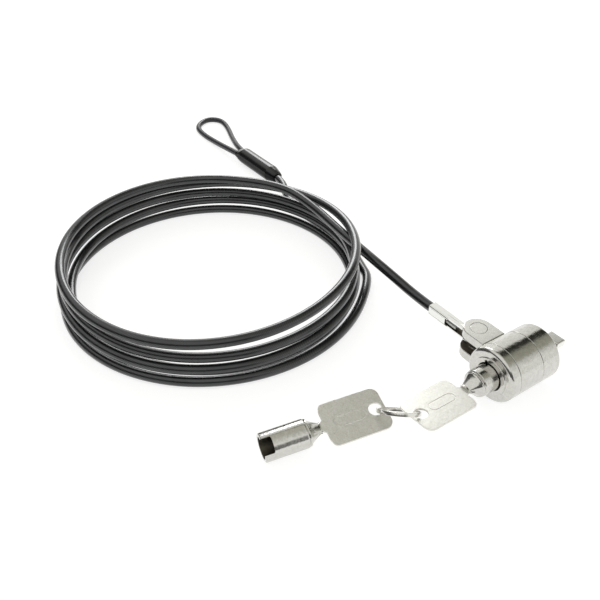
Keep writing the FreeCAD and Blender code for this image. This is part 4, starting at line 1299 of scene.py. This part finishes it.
@dataclass
class TubularKey(Assembly):
    """A tubular key: barrel, pinched cone and flat bow.

    Its own frame has the mouth at the origin and the bow towards -Y.
    """

    label: str
    body: Body
    frame: Matrix
    barrel: float = 5.1
    bore: float = 3.85
    length: float = 16.5
    depth: float = 14.9
    cone: float = 4.6
    cone_ends: Flat = (4.52, 2.15)
    notch: float = 151.0
    nib: float = -18.0
    width: float = 16.8
    bow: float = 23.6
    thick: float = 0.85
    tongue: float = 1.5
    hole: float = 2.5
    panel: Flat = (11.5, 4.2)

    def cone_mesh(self) -> Piece:
        """The tube's end pinched flat on the bow's tongue.

        Returns:
            The cone.
        """
        build = bmesh.new()
        rows = []
        steps, sides = 22, 72
        wide, narrow = self.cone_ends
        for i in range(steps + 1):
            t = i / steps
            y = -self.length + 0.25 - t * (self.cone + 0.25)
            base = wide + (narrow - wide) * min(1.0, t * 1.12) ** 0.9
            flat = 1.0 - 0.42 * max(0.0, t - 0.1) ** 0.8
            lip = 0.22 * max(0.0, (t - 0.86) / 0.14) ** 1.5
            row = []
            for k in range(sides):
                angle = 2 * math.pi * k / sides
                fold = 0.30 * max(0.0, t - 0.15) * math.cos(2 * angle) ** 2
                dent = 0.34 * max(0.0, t - 0.12) * math.exp(-((math.sin(angle)) / 0.22) ** 2)
                r = base * (1 - fold * 0.35 - dent) + lip
                row.append(build.verts.new((r * math.cos(angle), y, r * math.sin(angle) * flat)))
            rows.append(row)
        skin(build, rows)
        build.faces.new(rows[0])
        build.faces.new(rows[-1][::-1])
        return mesh_object(self.label + "_cone", build)

    def barrel_piece(self) -> Piece:
        """Barrel with its notch and nib, and the cone.

        Returns:
            The barrel.
        """
        end, radius = -self.length, self.barrel
        outline = [(0, -self.depth), (0, end), (radius - 0.55, end), (radius - 0.3, end + 0.2),
                   (radius - 0.3, end + 0.55), (radius - 0.5, end + 0.8),
                   (radius - 0.1, end + 0.95), (radius, end + 1.25), (radius, -0.3),
                   (radius - 0.3, 0), (self.bore, 0), (self.bore, -self.depth)]
        radii = {2: 0.15, 3: 0.2, 4: 0.2, 6: 0.15, 7: 0.3, 8: 0.3, 9: 0.3, 10: 0.12}
        piece = turned(self.label + "_tube", outline, radii, 4)
        carve(piece, self.cone_mesh(), Blend.JOIN)
        nib = plate("nib", box_shape(-0.4, -2.6, 0.4, -1.0), 4.3, 5.85, along_y(self.nib))
        carve(piece, soften(nib, 0.12, 50.0), Blend.JOIN)
        notch = rounded(box_shape(-2.8, -3.5, 2.8, 2), {0: 0.6, 1: 0.6}, 5)
        cut(piece, notch, 1.0, 7.0, along_y(self.notch))
        tongue = self.tongue + 0.03
        cut(piece, box_shape(-tongue, end - self.cone - 1, tongue, end - 1.4), -0.45, 0.45)
        piece = smooth(soften(piece, 0.08, 55.0), 40.0)
        # Painted shade: the bore's faces take the dark hollow finish.
        return mark(piece, 1, lambda c: math.hypot(c.x, c.z) < self.bore + 0.08
                    and -self.depth - 0.1 < c.y < -0.15)

    def bow_outline(self) -> list[Flat]:
        """Outline of the stamped bow.

        Returns:
            The outline.
        """
        end = -self.length - self.cone
        neck, far, half, tongue = end - 1.2, end - self.bow, self.width / 2, self.tongue
        right = [(half, far), (half, neck - 0.9), (5.4, neck), (2.4, neck), (tongue, end),
                 (tongue, end + 3.2)]
        radii = [3.0, 2.0, 1.6, 0.5, 0.3, 0.0]
        points = [(-half, far)] + right + [(-x, y) for x, y in right[:0:-1]]
        return rounded(points, dict(enumerate(radii[:1] + radii + radii[:0:-1])), 8)

    def bow_piece(self) -> Piece:
        """Flat bow with its hole and stamped plain panel.

        Returns:
            The bow.
        """
        half = self.thick / 2
        middle = -self.length - self.cone - self.bow + 3.5
        piece = plate(self.label + "_plate", self.bow_outline(), -half, half)
        cut(piece, disc_shape(0, middle, self.hole, 72), -2, 2)
        length, width = self.panel
        centre = middle + self.hole + length / 2 + 1.3
        for low, high in ((half - 0.12, half + 1), (-half - 1, -half + 0.12)):
            groove = plate("line", slot_shape(centre, length, width), low, high)
            cut(groove, slot_shape(centre, length - 0.7, width - 0.7), low - 1, high + 1)
            carve(piece, groove, Blend.CUT)
        return smooth(soften(piece, 0.1, 50.0, 3), 40.0)

    def build(self) -> None:
        """Makes the key in its place."""
        prefix = "" if self.body is Body.KEY else "spare_"
        scale = Matrix.Scale(MM, 4)
        for make, finish, slot, node, marked in (
                (self.barrel_piece, NICKEL, "nickel", "key_barrel", (HOLLOW_SHADE,)),
                (self.bow_piece, KEY_STEEL, "key_steel", "key_bow", ())):
            piece = make()
            piece.data.transform(scale @ self.frame @ scale.inverted())
            self.seat(piece, finish, slot, self.body, prefix + node, marked=marked)


def lock_key_frame() -> Matrix:
    """Place of the key in the lock."""
    return Matrix.Translation((0, KEY_HOLES[0][1] + HOLE_TO_MOUTH, 0)) @ along_y(-5.0)


def spare_key_frame() -> Matrix:
    """Place of the spare key, held by its ring hole.

    Returns:
        The frame.
    """
    along = Vector((0.2375, 0.971, 0.07)).normalized()
    side = (-along).cross(Vector((0, 0, 1))).normalized()
    level = Matrix((side, -along, side.cross(-along))).transposed().to_4x4()
    mouth = Vector(KEY_HOLES[1]) - along * HOLE_TO_MOUTH
    return Matrix.Translation(mouth) @ level @ along_y(169.0)


# Studio


@dataclass
class Studio:
    """Floor, lamp, sky and camera.

    Each band of the sky gives degrees round the lock axis, from +X by way of +Z, and a level.
    """

    eye: tuple = (118.15, -192.71, 179.33)
    heading: tuple = (-0.8219, 0.5696)
    pitch: float = 37.4
    lens: float = 44.1
    floor_grey: float = 0.47
    floor_glow: float = 0.75
    floor_size: float = 6000.0
    bands: tuple = ((0.0, 0.95), (24.0, 1.0), (42.0, 0.78), (58.0, 0.42), (80.0, 0.36),
                    (90.0, 0.28), (98.0, 0.05), (119.0, 0.02), (122.0, 0.30), (126.0, 0.90),
                    (152.0, 0.98), (176.0, 1.0))
    near_tone: Colour = (1.0, 1.0, 0.97)
    top_tone: Colour = (0.58, 0.57, 0.5)
    window: tuple = (-456, 177, 233)
    window_aim: tuple = (-120.0, -40.0, 0.0)
    window_size: float = 190.0
    window_power: float = 0.6

    def floor(self) -> None:
        """A wide pale floor that keeps the shadow."""
        build = bmesh.new()
        bmesh.ops.create_grid(build, x_segments=1, y_segments=1, size=self.floor_size)
        ground = mesh_object("studio_floor", build, Matrix.Translation((-100, -50, DESK)))
        made = bpy.data.materials.new("pale_floor")
        made.use_nodes = True
        graph = Graph(made.node_tree)
        rays = graph.node("ShaderNodeLightPath").outputs
        seen = graph.math("MAXIMUM", rays["Is Camera Ray"], rays["Is Glossy Ray"])
        seen = graph.math("MAXIMUM", seen, rays["Is Transmission Ray"])
        plain = graph.node("ShaderNodeBsdfDiffuse", {"Color": (self.floor_grey,) * 3})
        glow = graph.node("ShaderNodeEmission", {
            "Color": (1, 1, 1), "Strength": graph.times(seen, self.floor_glow)})
        mixed = graph.node("ShaderNodeAddShader", {0: plain.outputs[0], 1: glow.outputs[0]})
        graph.node("ShaderNodeOutputMaterial", {"Surface": mixed.outputs[0]})
        ground.data.materials.append(made)

    def sky(self) -> None:
        """Soft boxes and flags as bands round the lock axis, dimmer on the camera's side."""
        world = bpy.data.worlds.new("studio_sky")
        bpy.context.scene.world = world
        world.use_nodes = True
        graph = Graph(world.node_tree)
        way = graph.node("ShaderNodeTexCoord").outputs["Generated"]
        x, y, z = graph.node("ShaderNodeSeparateXYZ", {0: way}).outputs
        turn = graph.math("DIVIDE", graph.math("ARCTAN2", z, x), math.pi)
        ramp = graph.node("ShaderNodeValToRGB", {0: turn})
        band = ramp.color_ramp
        while len(band.elements) < len(self.bands):
            band.elements.new(0.5)
        for element, (degrees, level) in zip(band.elements, self.bands):
            element.position = degrees / 180.0
            warm = 0.97 if level > 0.7 else 0.84
            element.color = (level, level, level * warm, 1.0)
        side = graph.ramp(y, -0.15, 0.2)
        tone = graph.mix(side, BLACK, ramp.outputs[0])
        facing = graph.times(graph.ramp(z, 0.42, 0.62, 0.12), graph.math("SUBTRACT", 1.0, side))
        near = graph.mix(facing, BLACK, self.near_tone)
        over = graph.times(graph.ramp(z, 0.8, 0.9), graph.ramp(y, 0.3, 0.46, 1.0, 0.0))
        top = graph.mix(over, BLACK, self.top_tone)
        for operation, other in (("ADD", near), ("MAXIMUM", top)):
            tone = graph.node("ShaderNodeVectorMath", {0: tone, 1: other},
                              operation=operation).outputs[0]
        back = graph.node("ShaderNodeBackground", {0: tone, 1: 1.0})
        graph.node("ShaderNodeOutputWorld", {0: back.outputs[0]})

    def lamp(self) -> None:
        """The one lamp, a soft square window behind the coil."""
        light = bpy.data.lights.new("window", "AREA")
        light.size = self.window_size * MM
        light.energy = self.window_power
        holder = link("window", light)
        holder.location = Vector(self.window) * MM
        way = Vector(self.window_aim) - Vector(self.window)
        holder.rotation_euler = way.to_track_quat("-Z", "Y").to_euler()

    def camera(self) -> None:
        """The photograph's camera."""
        lens = bpy.data.cameras.new("photo_lens")
        lens.sensor_fit = "HORIZONTAL"
        lens.sensor_width = 36.0
        lens.lens = self.lens
        lens.clip_start, lens.clip_end = 0.01, 50.0
        pitch = math.radians(self.pitch)
        flat = Vector((*self.heading, 0)).normalized()
        ahead = flat * math.cos(pitch) - Vector((0, 0, math.sin(pitch)))
        right = Vector((flat.y, -flat.x, 0))
        turn = Matrix((right, right.cross(ahead), -ahead)).transposed()
        holder = link("photo_camera", lens)
        holder.matrix_world = Matrix.Translation(Vector(self.eye) * MM) @ turn.to_4x4()
        bpy.context.scene.camera = holder

    def build(self) -> None:
        """Sets up the studio."""
        bpy.context.scene.view_settings.view_transform = "Standard"
        self.floor()
        self.sky()
        self.camera()
        self.lamp()


def main() -> None:
    """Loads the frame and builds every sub-assembly."""
    logging.basicConfig(level=logging.INFO, format="%(name)s: %(message)s")
    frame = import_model()
    nodes = frame["nodes"]
    Studio().build()
    cable = CoveredCable(nodes)
    run = cable.build()
    sleeve = AnchorLoop(nodes).build()
    cable.declare(run, [sleeve, nodes["loop_ferrule"]])
    CableFitting(nodes).build()
    LockHead(nodes).build()
    KeyPins(nodes).build()
    TubularKey(nodes, "lock_key", Body.KEY, lock_key_frame()).build()
    TubularKey(nodes, "spare_key", Body.SPARE, spare_key_frame()).build()
    SplitRing(nodes).build()


if __name__ == "__main__":
    main()
